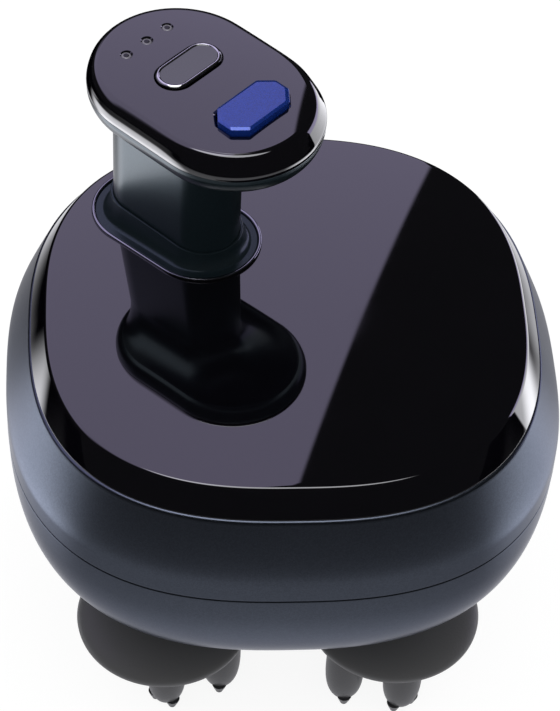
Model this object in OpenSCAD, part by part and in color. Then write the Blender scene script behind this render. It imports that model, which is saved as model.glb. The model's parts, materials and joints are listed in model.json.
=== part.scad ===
// Cordless electric scalp massager: a rounded-square case that rests on four turning
// massage heads, with a grip that stands on its glossy top panel.
// X to the right, Y to the rear, Z up. The finger tips rest on Z = 0.

/* [Case] */
// Width of the case across its flats, at the widest level
case_w = 109.8; // [104:0.2:118]
// Squareness of the plan, from 2 (round) upwards
plan_n = 2.6; // [2.4:0.05:3]
// Depth of the lower bowl below the widest level
bowl_d = 40.7; // [39:0.1:46]
// Fullness of the lower bowl
bowl_n = 3.1; // [2.8:0.05:3.6]
// Height of the upper case above the widest level
shoulder_h = 13.7; // [12.5:0.1:18]
// How far the shoulder draws in at each side
shoulder_in = 4.9; // [3.5:0.1:6]
// Distance of the seam below the widest level
seam_drop = 4.15; // [2:0.05:6]
// Wall thickness of both case halves
case_wall = 2.2; // [1.8:0.1:2.8]
// Thickness of the deck that closes the upper case
deck_t = 2; // [1.6:0.1:2.6]
// Width and depth of the seam gasket
gasket_w = 0.8; // [0.6:0.05:0.9]

/* [Top panel] */
// Height of the panel's sloping side band
band_h = 5.6; // [4:0.1:8]
// How far the side band draws in at each side
band_in = 3.4; // [2:0.1:5]
// Rise of the panel's dome above its edge
crown_h = 2.4; // [1:0.1:5]
// Panel thickness
panel_t = 2.2; // [1.8:0.1:2.8]

/* [Grip] */
// Height of the grip's top face above the panel's edge
grip_h = 44.3; // [42:0.1:54]
// Width of the grip's flat top face
cap_w = 30.7; // [28:0.1:34]
// Length of the grip's flat top face
cap_l = 45.2; // [43:0.1:50]
// Distance of the grip's centre behind the case axis
cap_y = 22.3; // [20:0.1:25]
// How far the cover's side swells beyond its top face
cap_swell = 2; // [1.4:0.1:2.6]
// Height of the glossy cover's side
cover_h = 4.45; // [4.2:0.05:6]
// Wall thickness of the cover
cover_t = 2; // [1.6:0.05:2.2]
// Height of the rounded rim below the cover
rim_h = 4.35; // [3.8:0.05:5.5]
// Width of the post
post_w = 14.4; // [13:0.1:17]
// Length of the post from front to rear
post_l = 29.2; // [26:0.1:32]
// Distance of the post's centre behind the case axis
post_y = 29.5; // [27:0.1:31]
// Wall thickness of the post
post_wall = 2; // [1.6:0.1:2.6]
// Height over which the post flares out under the grip
flare_h = 8; // [5:0.5:12]
// Height of the collar that holds the post, above the panel's edge
collar_h = 6; // [4.5:0.1:9]
// Width of the collar's flange inside the trim ring
flange_w = 21.8; // [20.5:0.1:24]
// Width of the trim ring's band
trim_w = 0.7; // [0.4:0.05:1.2]

/* [Buttons and lights] */
// Length of the eight-sided power button
power_l = 15.8; // [13:0.1:17]
// Width of the power button
power_w = 8.4; // [7:0.1:9.5]
// Distance of the power button in front of the grip's centre
power_y = 11.9; // [11.5:0.1:13.5]
// Length of the round-ended stimulation button
ems_l = 14.8; // [12:0.1:16]
// Width of the stimulation button
ems_w = 7.2; // [6:0.1:8.5]
// Distance of the stimulation button behind the grip's centre
ems_y = 4.6; // [3.5:0.1:5.5]
// How far the power button stands above the cover
power_rise = 1.9; // [1.2:0.1:2.4]
// How far the stimulation button stands above the cover
ems_rise = 1.3; // [0.8:0.1:2]
// Gap around each button
button_gap = 0.2; // [0.1:0.05:0.4]
// Travel of the buttons
button_travel = 0.4; // [0.2:0.05:0.5]
// Distance between the indicator lights
led_pitch = 5.55; // [4.5:0.05:7]
// Distance of the lights behind the grip's centre
led_y = 15.5; // [14.5:0.1:16.5]
// Diameter of each light's lens
lens_d = 1.9; // [1.4:0.1:2.6]

/* [Massage heads] */
// Number of teeth on each head's gear
head_teeth = 36; // [36:4:36]
// Number of teeth on the central gear
sun_teeth = 48; // [48:4:48]
// Diameter of a head's skirt
skirt_d = 35.8; // [32:0.1:38]
// Height of the skirt's dome
skirt_h = 5.4; // [4:0.1:6.5]
// Thickness of the skirt
skirt_t = 1.4; // [1:0.1:2]
// Height of the skirt's lower edge above the surface it stands on
finger_h = 17.2; // [15:0.1:24]
// Distance of the four fingers' centre from the head's axis, which makes them knead
finger_off = 4.3; // [0:0.1:4.6]
// Distance of a finger's tip from the four fingers' centre
finger_r = 8.3; // [8:0.1:8.8]
// Diameter of a finger at its root
finger_d = 8.4; // [7.5:0.1:8.8]
// Fullness of the fingers' rounded tips
finger_n = 4.5; // [2:0.1:6]
// Inward lean of the fingers, in degrees
finger_lean = 2; // [0:0.5:3.5]
// Diameter of the small nubs on each tip
nub_d = 1.7; // [1.2:0.1:2]
// Turn of the left and right heads, in degrees
head_turn_a = 306; // [0:1:359]
// Turn of the front and rear heads, in degrees
head_turn_b = 185; // [0:1:359]
// Gap between the skirts' domes and the case
head_gap = 3.9; // [3:0.1:6]

/* [Drive] */
// Module of the head gears and the central gear
gear_m = 0.8; // [0.78:0.01:0.8]
// Face width of the head gears
gear_t = 5; // [3.5:0.5:5]
// Number of teeth on the pinion of the idler
idler_teeth = 16; // [16:1:16]
// Number of teeth on the idler's wheel
wheel_teeth = 48; // [48:4:48]
// Number of teeth on the motor's pinion
motor_teeth = 12; // [12:1:12]
// Module of the idler's wheel and the motor's pinion
wheel_m = 0.5; // [0.45:0.01:0.5]
// Play between meshing teeth, along the pitch circle
backlash = 0.16; // [0.12:0.01:0.3]
// Diameter of the head shafts
shaft_d = 5; // [4:0.5:6]
// Thickness of the gear plates
plate_t = 2.5; // [2:0.1:3]
// Height between the two gear plates
plate_space = 14.5; // [14:0.1:16]
// Diameter of the gear motor
motor_d = 24.4; // [20:0.1:25]
// Air gap between the gear motor and the main board
motor_air = 0.8; // [0.5:0.1:2]
// Running clearance of shafts in their bores
run = 0.05; // [0.03:0.01:0.1]

/* [Power and electronics] */
// Diameter of the battery cell
cell_d = 18.4; // [14:0.1:18.6]
// Length of the battery cell
cell_l = 65; // [48:0.5:66]
// Distance of the battery in front of the case axis
cell_y = 16; // [15.5:0.1:17]
// Thickness of the circuit boards
board_t = 1; // [0.8:0.1:1.2]

/* [Hidden] */
$fn = 48;
flat_r = 12;   // half width of the flat under the bowl
seg = 72;      // points round the case
half_seg = 16; // points round each end of an oval

// Levels, from the resting surface up
skirt_z = finger_h;
hub_top = skirt_z + skirt_h;
case_z = hub_top + head_gap;
wide_z = case_z + bowl_d;
seam_z = wide_z - seam_drop;
shoulder_z = wide_z + shoulder_h;
edge_z = shoulder_z + band_h;
cap_z = edge_z + grip_h;
cover_z = cap_z - cover_h;
rim_z = cover_z - rim_h;
deck_z = shoulder_z + 1.2;
plate_z = case_z + 10;
gear_z = plate_z + plate_t + 2.5;
top_plate_z = plate_z + plate_t + plate_space;
motor_z = top_plate_z + plate_t;
wheel_z = top_plate_z - 5.5;
shaft_top = top_plate_z + plate_t - 0.3;
board_top = deck_z - deck_t - 1.8;
motor_l = board_top - board_t - motor_air - 1 - motor_z;
case_r = case_w / 2;
shoulder_r = case_r - shoulder_in;
edge_r = shoulder_r - band_in;

// Widths of the grip
cover_w = cap_w / 2 + cap_swell;
cover_l = cap_l / 2 + cap_swell;
rim_in = 1.2;
tray_z = cap_z - cover_t - 4.1;   // floor inside the grip
board_z = tray_z;
flange_l = flange_w + post_l - post_w;
seat_z = collar_h + edge_z - 7;   // where the post stands in the collar
fit = 0.05;
nub_r = 2.3;       // nubs from the finger's axis

// Drive layout
head_r = gear_m * (head_teeth + sun_teeth) / 2;
idler_r = gear_m * (idler_teeth + sun_teeth) / 2;
motor_gap = wheel_m * (wheel_teeth + motor_teeth) / 2;
idler_a = 45;
pillar_a = 60;
pillar_r = 39.5;
pillar_d = 5.2;
plate_r = 42;
bush_d = shaft_d + 4;
boss_r = 43;       // case screws from the case axis
boss_d = 7.6;
screw_r = 1.3;
head_hole = 2.6;    // way for a screw head through the bowl
screw_seat = case_z + 18.9;
axle_d = 3;

// Plan of the case: a superellipse with its corners on the X and Y axes
function plan_r(t) = pow(pow(abs(cos(t - 45)), plan_n) + pow(abs(sin(t - 45)), plan_n),
  -1 / plan_n);
function plan(a, z) = [for (i = [0:seg - 1]) let (t = i * 360 / seg, r = a * plan_r(t))
  [r * cos(t), r * sin(t), z]];
// Half width of the bowl of width a and depth d, u degrees below its widest level
function bowl(a, d, u) = [a * pow(cos(u), 2 / bowl_n), wide_z - d * pow(sin(u), 2 / bowl_n)];
// The same at a level z
function bowl_a(a, d, z) = a * pow(1 - pow((wide_z - z) / d, bowl_n), 1 / bowl_n);
// Half width of the shoulder at the share s of its height: it leaves the widest level
// upright and then runs straight
function bend(s) = sqrt(s * s + 0.02) - sqrt(0.02);
function shoulder(s) = [case_r - shoulder_in * bend(s) / bend(1), wide_z + shoulder_h * s];
// Level of the bowl's outside at the case screws, and length of their plugs
boss_z = wide_z - bowl_d * pow(1 - pow(boss_r / case_r, bowl_n), 1 / bowl_n);
plug_h = 3.4;
// Height of the dome over the half width a
function dome(a) = edge_z + crown_h * (1 - pow(a / edge_r, 2));
// Oval ring of half width w and half length l, centred at y, falling by tilt to the rear
function oval(w, l, y, z, tilt = 0) = [for (s = [1, -1]) for (i = [0:half_seg])
  let (t = (s > 0 ? 0 : 180) + i * 180 / half_seg, v = s * (l - w) + w * sin(t))
  [w * cos(t), y + v, z - tilt * v]];

// Solid through a list of rings; closed joins the last ring to the first
module loft(rings, closed = false) {
  n = len(rings[0]);
  m = len(rings);
  sides = [for (k = [0:m - (closed ? 1 : 2)]) for (i = [0:n - 1])
    let (a = k * n + i, b = k * n + (i + 1) % n,
         c = ((k + 1) % m) * n + (i + 1) % n, d = ((k + 1) % m) * n + i)
    each [[a, d, c], [a, c, b]]];
  caps = closed ? [] : [[for (i = [0:n - 1]) i], [for (i = [n - 1:-1:0]) (m - 1) * n + i]];
  polyhedron([for (r = rings) each r], concat(sides, caps), convexity = 8);
}

// Solid of revolution about Z stretched along Y by s, from a filled half profile
module long_turn(profile, s) {
  for (y = [-s / 2, s / 2]) translate([0, y, 0]) rotate_extrude() polygon(profile);
  mirrored = [for (i = [len(profile) - 1:-1:0]) [-profile[i][0], profile[i][1]]];
  translate([0, s / 2, 0]) rotate([90, 0, 0]) linear_extrude(s)
    polygon(concat(profile, mirrored));
}

// Upright oval prism
module oval_prism(w, l, h) {
  for (y = [-1, 1]) translate([0, y * (l - w), 0]) cylinder(r = w, h = h);
  if (l > w) translate([-w, w - l, 0]) cube([2 * w, 2 * (l - w), h]);
}

// Upright tube
module ring(ro, ri, h) {
  difference() {
    cylinder(r = ro, h = h);
    translate([0, 0, -1]) cylinder(r = ri, h = h + 2);
  }
}

// Copies at the four heads, on the axes
module at_heads() for (a = [0:90:270]) rotate(a) translate([head_r, 0, 0]) children();
// Copies at the four pillars
module at_pillars() for (a = [0:90:270])
  rotate(a + pillar_a) translate([pillar_r, 0, 0]) children();
// Copies at the four case screws, on the diagonals
module at_bosses() for (a = [45:90:315]) rotate(a) translate([boss_r, 0, 0]) children();
module at_idler() rotate(idler_a) translate([idler_r, 0, 0]) children();
module at_motor() rotate(idler_a) translate([idler_r - motor_gap, 0, 0]) children();

// Involute gear: pressure angle 25 degrees, a tooth on the X axis
pa = 25;
function inv(a) = tan(a) * 180 / PI - a;
function tooth_half(m, z, r) = 90 / z - backlash * 45 / PI / (m * z / 2)
  + inv(pa) - inv(acos(min(1, m * z / 2 * cos(pa) / r)));
function gear_points(m, z) = let (rp = m * z / 2, rb = rp * cos(pa), rr = rp - 1.25 * m,
  rt = rp + m, r0 = max(rb, rr), rs = [r0, (r0 + rp) / 2, rp, (rp + rt) / 2, rt])
  [for (k = [0:z - 1]) let (c = k * 360 / z) each concat(
    rr < rb ? [rr * [cos(c - tooth_half(m, z, rb)), sin(c - tooth_half(m, z, rb))]] : [],
    [for (r = rs) r * [cos(c - tooth_half(m, z, r)), sin(c - tooth_half(m, z, r))]],
    [for (i = [4:-1:0]) let (r = rs[i])
      r * [cos(c + tooth_half(m, z, r)), sin(c + tooth_half(m, z, r))]],
    rr < rb ? [rr * [cos(c + tooth_half(m, z, rb)), sin(c + tooth_half(m, z, rb))]] : [])];
module gear(m, z, h) linear_extrude(h) polygon(gear_points(m, z));

// ---- Case ----

// Rings of the lower case's outer form at the angles us, drawn in by d
function bowl_rings(us, d = 0) = [for (u = us) let (p = bowl(case_r, bowl_d, u))
  plan(p[0] - d, p[1] + d)];

module lower_case() color([0.17, 0.20, 0.24]) {
  wi = case_r - case_wall;
  di = bowl_d - case_wall;
  ao = bowl_a(case_r, bowl_d, seam_z);
  difference() {
    union() {
      loft(concat([plan(flat_r, case_z)],
        bowl_rings([78, 70, 62, 54, 46, 38, 30, 22, 14, 7]),
        [plan(ao, seam_z - 0.25), plan(ao - 0.25, seam_z),
         plan(ao - 0.7, seam_z), plan(ao - 0.7, seam_z - gasket_w / 2),
         plan(ao - 0.7 - gasket_w, seam_z - gasket_w / 2), plan(ao - 0.7 - gasket_w, seam_z),
         plan(ao - case_wall, seam_z)],
        [for (u = [8, 20, 32, 44, 56, 68, 80]) let (p = bowl(wi, di, u)) plan(p[0], p[1])]));
      intersection() {
        union() {
          at_bosses() translate([0, 0, case_z]) cylinder(d = boss_d, h = seam_z - case_z);
          at_pillars() translate([0, 0, case_z])
            cylinder(d = pillar_d + 1, h = plate_z - case_z);
        }
        loft(concat(bowl_rings([78, 62, 46, 30, 14], 0.4), [plan(ao - 0.4, seam_z)]));
      }
      at_heads() translate([0, 0, case_z - 0.6]) cylinder(r = 9, h = plate_z - case_z + 0.6);
    }
    at_heads() translate([0, 0, case_z - 2]) cylinder(r = 6.5, h = plate_z - case_z + 4);
    at_bosses() {
      translate([0, 0, case_z - 1]) cylinder(r = head_hole, h = screw_seat - case_z + 1);
      translate([0, 0, case_z]) cylinder(r = screw_r, h = seam_z - case_z + 1);
    }
    at_pillars() translate([0, 0, plate_z - 2.6]) cylinder(r = screw_r, h = 5);
  }
}

module upper_case() color([0.17, 0.20, 0.24]) {
  ao = bowl_a(case_r, bowl_d, seam_z);
  lip = shoulder_r - 3.2;
  difference() {
    union() {
      loft(concat(
        [plan(6, deck_z - deck_t), plan(lip - 2, deck_z - deck_t),
         plan(shoulder_r - case_wall - 0.3, deck_z - deck_t - 1.5)],
        [for (s = [0.7, 0.45, 0.2, 0]) let (p = shoulder(s)) plan(p[0] - case_wall, p[1])],
        [plan(ao - case_wall, seam_z), plan(ao - 0.7 - gasket_w, seam_z),
         plan(ao - 0.7 - gasket_w, seam_z + gasket_w / 2), plan(ao - 0.7, seam_z + gasket_w / 2),
         plan(ao - 0.7, seam_z), plan(ao - 0.25, seam_z), plan(ao, seam_z + 0.25)],
        [for (s = [0, 0.12, 0.27, 0.45, 0.63, 0.8]) let (p = shoulder(s)) plan(p[0], p[1])],
        [plan(shoulder_r + 0.1, shoulder_z - 0.6), plan(shoulder_r - 0.15, shoulder_z - 0.15),
         plan(shoulder_r - 0.6, shoulder_z), plan(lip, shoulder_z), plan(lip, deck_z),
         plan(6, deck_z)]));
      at_bosses() translate([0, 0, seam_z]) cylinder(d = boss_d, h = deck_z - deck_t - seam_z + 0.5);
      for (p = board_holes) translate([p[0], p[1], board_top])
        cylinder(r = 3, h = deck_z - deck_t - board_top + 0.5);
    }
    at_bosses() translate([0, 0, seam_z - 1]) cylinder(r = screw_r, h = 12);
    for (p = board_holes) translate([p[0], p[1], board_top - 1]) cylinder(r = 1, h = 4);
    // Way for the harness and the four collar screws
    translate([0, post_y, deck_z - deck_t - 1]) cylinder(r = 4, h = deck_t + 2);
    for (p = neck_holes) translate([p[0], p[1], deck_z - deck_t - 1])
      cylinder(r = screw_r, h = deck_t + 2);
    // Recess and hole of the charging port
    port_cut(port_w + 6, port_h + 4.4);
    translate([0, port_face, port_z]) rotate([90, 0, 0]) port_hole();
  }
}

module case_gasket() color([0.08, 0.08, 0.09]) {
  ao = bowl_a(case_r, bowl_d, seam_z);
  difference() {
    translate([0, 0, seam_z - gasket_w / 2]) linear_extrude(gasket_w)
      polygon([for (p = plan(ao - 0.7, 0)) [p[0], p[1]]]);
    translate([0, 0, seam_z - gasket_w]) linear_extrude(2 * gasket_w)
      polygon([for (p = plan(ao - 0.7 - gasket_w, 0)) [p[0], p[1]]]);
  }
}

module top_panel() color([0.10, 0.09, 0.13]) {
  lip = shoulder_r - 3.2 + fit;
  difference() {
    union() {
      loft(concat(
        [for (a = [4, 14, 24, 34]) plan(a, dome(a) - panel_t)],
        [plan(edge_r - 2.6, dome(edge_r) - panel_t), plan(lip, deck_z + 0.1),
         plan(lip, shoulder_z)],
        [plan(shoulder_r - 0.75, shoulder_z), plan(shoulder_r - 0.62, shoulder_z + 0.2),
         plan(edge_r + 1.75, shoulder_z + band_h * 0.5),
         plan(edge_r + 0.5, edge_z - 0.85), plan(edge_r + 0.2, edge_z - 0.25),
         plan(edge_r - 0.3, dome(edge_r) + 0.02)],
        [for (a = [edge_r - 1.2, 42, 36, 28, 20, 12, 4]) plan(a, dome(a))]));
      // Locating pegs that stand on the deck
      for (a = [45:90:315]) rotate(a) translate([28, 0, deck_z])
        cylinder(r = 2.5, h = dome(28) - panel_t / 2 - deck_z);
    }
    translate([0, post_y, deck_z + 0.1])
      oval_prism(flange_w / 2 + trim_w, flange_l / 2 + trim_w, 20);
  }
}

// Bright ring in the panel's opening, level with the fall of the dome
slope = 2 * crown_h * post_y / pow(edge_r * plan_r(90), 2);
trim_z = dome(post_y / plan_r(90));
module trim_ring() color([0.75, 0.74, 0.80]) {
  wo = flange_w / 2 + trim_w - 0.02;
  lo = flange_l / 2 + trim_w - 0.02;
  wi = flange_w / 2;
  li = flange_l / 2;
  loft([oval(wo, lo, post_y, trim_z - 1.6, slope),
    oval(wo, lo, post_y, trim_z + 0.15, slope),
    oval(wo - 0.12, lo - 0.12, post_y, trim_z + 0.35, slope),
    oval(wi + 0.12, li + 0.12, post_y, trim_z + 0.35, slope),
    oval(wi, li, post_y, trim_z + 0.15, slope),
    oval(wi, li, post_y, trim_z - 1.6, slope)], closed = true);
}

// ---- Grip ----

neck_holes = [for (x = [-1, 1]) for (y = [-1, 1])
  [x * (post_w / 2 + 1.9), post_y + y * (post_l - post_w) / 2]];

module neck_collar() color([0.13, 0.16, 0.18]) {
  wp = post_w / 2;
  lp = post_l / 2;
  wf = flange_w / 2;
  lf = flange_l / 2;
  top = edge_z + collar_h;
  fz = trim_z - 0.05;
  // Concave fillet, a quarter of an ellipse from the flange up to the neck
  fillet_w = wf - 1.3 - wp - 0.6;
  difference() {
    loft(concat(
      [oval(wf, lf, post_y, deck_z), oval(wf, lf, post_y, fz - 0.35, slope),
       oval(wf - 0.3, lf - 0.3, post_y, fz - 0.05, slope),
       oval(wf - 1.3, lf - 1.3, post_y, fz, slope)],
      [for (u = [15, 30, 45, 60, 75, 90]) let (e = fillet_w * sin(u), h = (top - 0.5 - fz) * (1 - cos(u)))
        oval(wf - 1.3 - e, lf - 1.3 - e, post_y, fz + h, slope * cos(u))],
      [oval(wp + 0.35, lp + 0.35, post_y, top), oval(wp + fit, lp + fit, post_y, top),
       oval(wp + fit, lp + fit, post_y, seat_z),
       oval(wp - post_wall, lp - post_wall, post_y, seat_z),
       oval(wp - post_wall, lp - post_wall, post_y, deck_z)]), closed = true);
    for (p = neck_holes) translate([p[0], p[1], deck_z - 1]) cylinder(r = 1, h = 4);
  }
}

module neck_screws() color([0.7, 0.7, 0.72])
  for (p = neck_holes) translate([p[0], p[1], deck_z - deck_t]) {
    translate([0, 0, -1.3]) cylinder(r = 2, h = 1.3);
    translate([0, 0, -0.2]) cylinder(r = 1, h = deck_t + 2.8);
  }

module grip_post() color([0.13, 0.16, 0.18]) {
  wp = post_w / 2;
  lp = post_l / 2;
  wr = cover_w - rim_in;
  lr = cover_l - rim_in;
  wt = cover_w - cover_t - 0.7;
  lt = cover_l - cover_t - 0.7;
  loft(concat(
    [oval(wp, lp, post_y, seat_z), oval(wp, lp, post_y, rim_z - flare_h)],
    // Flare: a quarter of an ellipse from the post out to the underside of the grip
    [for (u = [15, 30, 45, 60, 75, 90]) let (g = 1 - cos(u))
      oval(wp + (wr - 0.8 - wp) * g, lp + (lr - 0.8 - lp) * g, post_y + (cap_y - post_y) * g,
        rim_z - flare_h + flare_h * sin(u))],
    [oval(wr, lr, cap_y, rim_z + 0.7), oval(cover_w - 0.55, cover_l - 0.55, cap_y, rim_z + rim_h * 0.4),
     oval(cover_w - 0.1, cover_l - 0.1, cap_y, rim_z + rim_h * 0.72),
     oval(cover_w - 0.1, cover_l - 0.1, cap_y, cover_z - 0.3),
     oval(cover_w - 0.35, cover_l - 0.35, cap_y, cover_z),
     oval(wt, lt, cap_y, cover_z), oval(wt, lt, cap_y, tray_z),
     oval(wp - post_wall, lp - post_wall, post_y, tray_z),
     oval(wp - post_wall, lp - post_wall, post_y, seat_z)]), closed = true);
}

// Half profile of the cover, g thinner than its outer form
function cover_profile(g) = [[0, cover_z - g], [cover_w - g, cover_z - g],
  [cover_w - g, cover_z + 0.5], [cover_w - 0.12 - g, cover_z + 1.6],
  [cover_w - 0.42 - g, cover_z + cover_h - 1.6], [cover_w - 0.95 - g, cap_z - 0.75 - g],
  [cover_w - 1.45 - g, cap_z - 0.22 - g], [cap_w / 2 - g, cap_z - g], [0, cap_z - g]];

// Outline of the power button, g larger all round
function octagon(g) = let (x = power_l / 2 + g, y = power_w / 2 + g, c = power_w * 0.3)
  [[x, y - c], [x - c, y], [c - x, y], [-x, y - c], [-x, c - y], [c - x, -y], [x - c, -y],
   [x, c - y]];
module power_outline(g, h) linear_extrude(h) polygon(octagon(g));
module at_power() translate([0, cap_y - power_y, 0]) children();
module at_ems() translate([0, cap_y + ems_y, 0]) rotate(90) children();
module at_leds() for (x = [-1, 0, 1])
  translate([x * led_pitch, cap_y + led_y, 0]) children();

module grip_cover() color([0.10, 0.09, 0.13])
  difference() {
    translate([0, cap_y, 0]) long_turn(cover_profile(0), cap_l - cap_w);
    translate([0, cap_y, 0]) long_turn(cover_profile(cover_t), cap_l - cap_w);
    translate([0, 0, cap_z - 5]) {
      at_power() power_outline(button_gap, 10);
      at_ems() oval_prism(ems_w / 2 + button_gap, ems_l / 2 + button_gap, 10);
      at_leds() cylinder(d = lens_d, h = 10);
    }
  }

button_foot = cap_z - cover_t - 1.2; // underside of the buttons at rest
module power_button() color([0.15, 0.27, 0.72]) at_power() {
  translate([0, 0, button_foot]) {
    power_outline(0.9, 1.1);
    power_outline(0, cap_z + power_rise - 0.9 - button_foot);
  }
  // Bevel round the raised face
  loft([for (k = [[0, -1], [0, -0.9], [-0.9, 0]])
    [for (p = octagon(k[0])) [p[0], p[1], cap_z + power_rise + k[1]]]]);
}

module ems_button() color([0.30, 0.29, 0.33]) at_ems() {
  w = ems_w / 2;
  s = ems_l - ems_w;
  top = cap_z + ems_rise;
  long_turn([[0, button_foot], [w + 0.9, button_foot], [w + 0.9, button_foot + 1.1],
    [w, button_foot + 1.1], [w, top - 0.9], [w - 0.35, top - 0.35], [w - 1.1, top],
    [0, top]], s);
}

module button_board() color([0.08, 0.30, 0.16])
  translate([0, cap_y, board_z])
    oval_prism(cover_w - cover_t - 0.9, cover_l - cover_t - 0.9, board_t);

module button_switches() color([0.25, 0.25, 0.27])
  for (y = [-power_y, ems_y]) translate([0, cap_y + y, board_z + board_t]) {
    h = button_foot - button_travel - 0.1 - board_z - board_t;
    translate([-2.6, -2.6, 0]) cube([5.2, 5.2, h - 0.4]);
    cylinder(r = 1, h = h);
  }

module indicator_leds() color([0.9, 0.9, 0.85])
  at_leds() translate([-0.8, -0.5, board_z + board_t]) cube([1.6, 1, 0.7]);

module indicator_lenses() color([0.05, 0.05, 0.06])
  at_leds() translate([0, 0, board_z + board_t + 0.9])
    cylinder(d = lens_d, h = cap_z - 0.15 - board_z - board_t - 0.9);

// ---- Electronics ----

board_holes = [[-25, -6], [25, -6], [-16, 42], [16, 42]];
port_w = 9;
port_h = 3.2;
port_l = 7.3;
port_z = board_top - board_t - port_h / 2;
port_out = shoulder((port_z - wide_z) / shoulder_h)[0] * plan_r(90);  // outside of the wall
port_face = port_out - case_wall * plan_r(90) - 0.3;
port_flap = 1.5;  // thickness of the flap over the port

module main_board() color([0.08, 0.30, 0.16])
  difference() {
    translate([0, 0, board_top - board_t]) linear_extrude(board_t)
      polygon([[-29, -10], [29, -10], [27, 22], [17.5, 47], [8, port_face - 3], [-8, port_face - 3],
        [-17.5, 47], [-27, 22]]);
    for (p = board_holes) translate([p[0], p[1], board_top - 3]) cylinder(r = 1.1, h = 5);
    translate([0, post_y, board_top - 3]) cylinder(r = 2.2, h = 5);
  }

module board_components() color([0.12, 0.12, 0.13])
  translate([0, 0, board_top - board_t]) {
    translate([-22, 14, -1.2]) cube([9, 9, 1.2]);                   // controller
    translate([-10, 24, -1.6]) cube([5, 4, 1.6]);                   // driver
    translate([14, 30, -5]) cube([7, 7, 5]);                        // pulse transformer
    translate([-15, 33, -8]) cylinder(r = 3.15, h = 8);             // capacitor
    translate([-8, 38, -8]) cylinder(r = 2.5, h = 8);               // capacitor
    translate([22, 18, -6]) cube([5, 7, 6]);                        // battery connector
    translate([-27, 0, -6]) cube([5, 8, 6]);                        // motor connector
  }

module board_screws() color([0.7, 0.7, 0.72])
  for (p = board_holes) translate([p[0], p[1], board_top - board_t]) {
    translate([0, 0, -1.2]) cylinder(r = 1.9, h = 1.2);
    translate([0, 0, -0.2]) cylinder(r = 1, h = 4);
  }

module grip_harness() color([0.15, 0.15, 0.16])
  translate([0, post_y, board_top - board_t]) cylinder(r = 2.15, h = board_z - board_top + board_t);

module charging_port() color([0.65, 0.66, 0.68])
  translate([0, port_face, port_z]) rotate([90, 0, 0])
    difference() {
      rounded_slot(port_w, port_h, port_l);
      translate([0, 0, -1]) rounded_slot(port_w - 0.7, port_h - 0.7, port_l - 0.6);
      translate([-port_w, -port_h, port_l]) cube([2 * port_w, 2 * port_h, 1]);
    }

// Flat slot with round ends, along Z
module rounded_slot(w, h, l) {
  for (x = [-1, 1]) translate([x * (w - h) / 2, 0, 0]) cylinder(d = h, h = l);
  translate([(h - w) / 2, -h / 2, 0]) cube([w - h, h, l]);
}
module port_hole() translate([0, 0, -20]) rounded_slot(port_w + 0.2, port_h + 0.2, 21);
// Seat of the flap in the rear wall, of width w and height h
module port_cut(w, h) translate([0, port_out - port_flap, port_z]) rotate([-90, 0, 0])
  rounded_slot(w, h, 10);

module port_cover() color([0.10, 0.11, 0.13]) {
  intersection() {
    loft([for (s = [0.27, 0.45, 0.63, 0.8, 1]) let (p = shoulder(s)) plan(p[0], p[1])]);
    port_cut(port_w + 5.8, port_h + 4.2);
  }
  // Plug that closes the port
  translate([0, port_out - port_flap, port_z]) rotate([90, 0, 0])
    rounded_slot(port_w - 0.9, port_h - 0.9, 4);
}

module battery() color([0.20, 0.42, 0.62])
  translate([-cell_l / 2, -cell_y, motor_z + 0.8 + cell_d / 2]) rotate([0, 90, 0]) {
    cylinder(d = cell_d, h = cell_l - 1);
    translate([0, 0, cell_l - 1]) cylinder(d = 6, h = 1);
  }

module battery_cradle() color([0.22, 0.22, 0.24])
  difference() {
    translate([6.5 - cell_l / 2, -cell_y - cell_d / 2 - 1.2, motor_z])
      cube([cell_l - 13, cell_d + 2.4, 7]);
    translate([-cell_l / 2, -cell_y, motor_z + 0.8 + cell_d / 2]) rotate([0, 90, 0])
      cylinder(d = cell_d + 0.1, h = cell_l);
  }

// ---- Drive ----

module gear_motor() color([0.62, 0.63, 0.65]) at_motor()
  translate([0, 0, motor_z]) difference() {
    union() {
      cylinder(d = motor_d, h = motor_l);
      translate([0, 0, motor_l]) cylinder(r = 4, h = 1);
    }
    translate([0, 0, -1]) cylinder(r = 1 + run, h = 9);
    for (x = [-1, 1]) translate([x * 8, 0, -1]) cylinder(r = 1, h = 4);
  }

module motor_screws() color([0.7, 0.7, 0.72]) at_motor()
  for (x = [-1, 1]) translate([x * 8, 0, top_plate_z]) {
    translate([0, 0, -1.3]) cylinder(r = 1.9, h = 1.3);
    translate([0, 0, -0.2]) cylinder(r = 1, h = plate_t + 2.8);
  }

// The motor's pinion on its shaft; a gap faces the wheel
module motor_pinion() color([0.80, 0.66, 0.35]) at_motor() {
  translate([0, 0, wheel_z - 0.3]) rotate(15) gear(wheel_m, motor_teeth, 3.9);
  translate([0, 0, wheel_z - 0.3]) cylinder(r = 1, h = motor_z + 7 - wheel_z);
}

module idler_gear() color([0.88, 0.88, 0.84]) at_idler() {
  difference() {
    union() {
      translate([0, 0, wheel_z]) rotate(180) gear(wheel_m, wheel_teeth, 3);
      translate([0, 0, gear_z - 0.5]) rotate(180 + 180 / idler_teeth)
        gear(gear_m, idler_teeth, wheel_z - gear_z + 0.6);
      translate([0, 0, plate_z + plate_t + 0.2]) cylinder(r = 3.2, h = 2);
      translate([0, 0, wheel_z + 2.5]) cylinder(r = 3.2, h = top_plate_z - wheel_z - 2.7);
    }
    translate([0, 0, plate_z]) cylinder(d = axle_d + 2 * run, h = 30);
  }
}

module idler_axle() color([0.8, 0.8, 0.82]) at_idler()
  translate([0, 0, plate_z + 0.3]) cylinder(d = axle_d, h = shaft_top - plate_z - 0.3);

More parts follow.
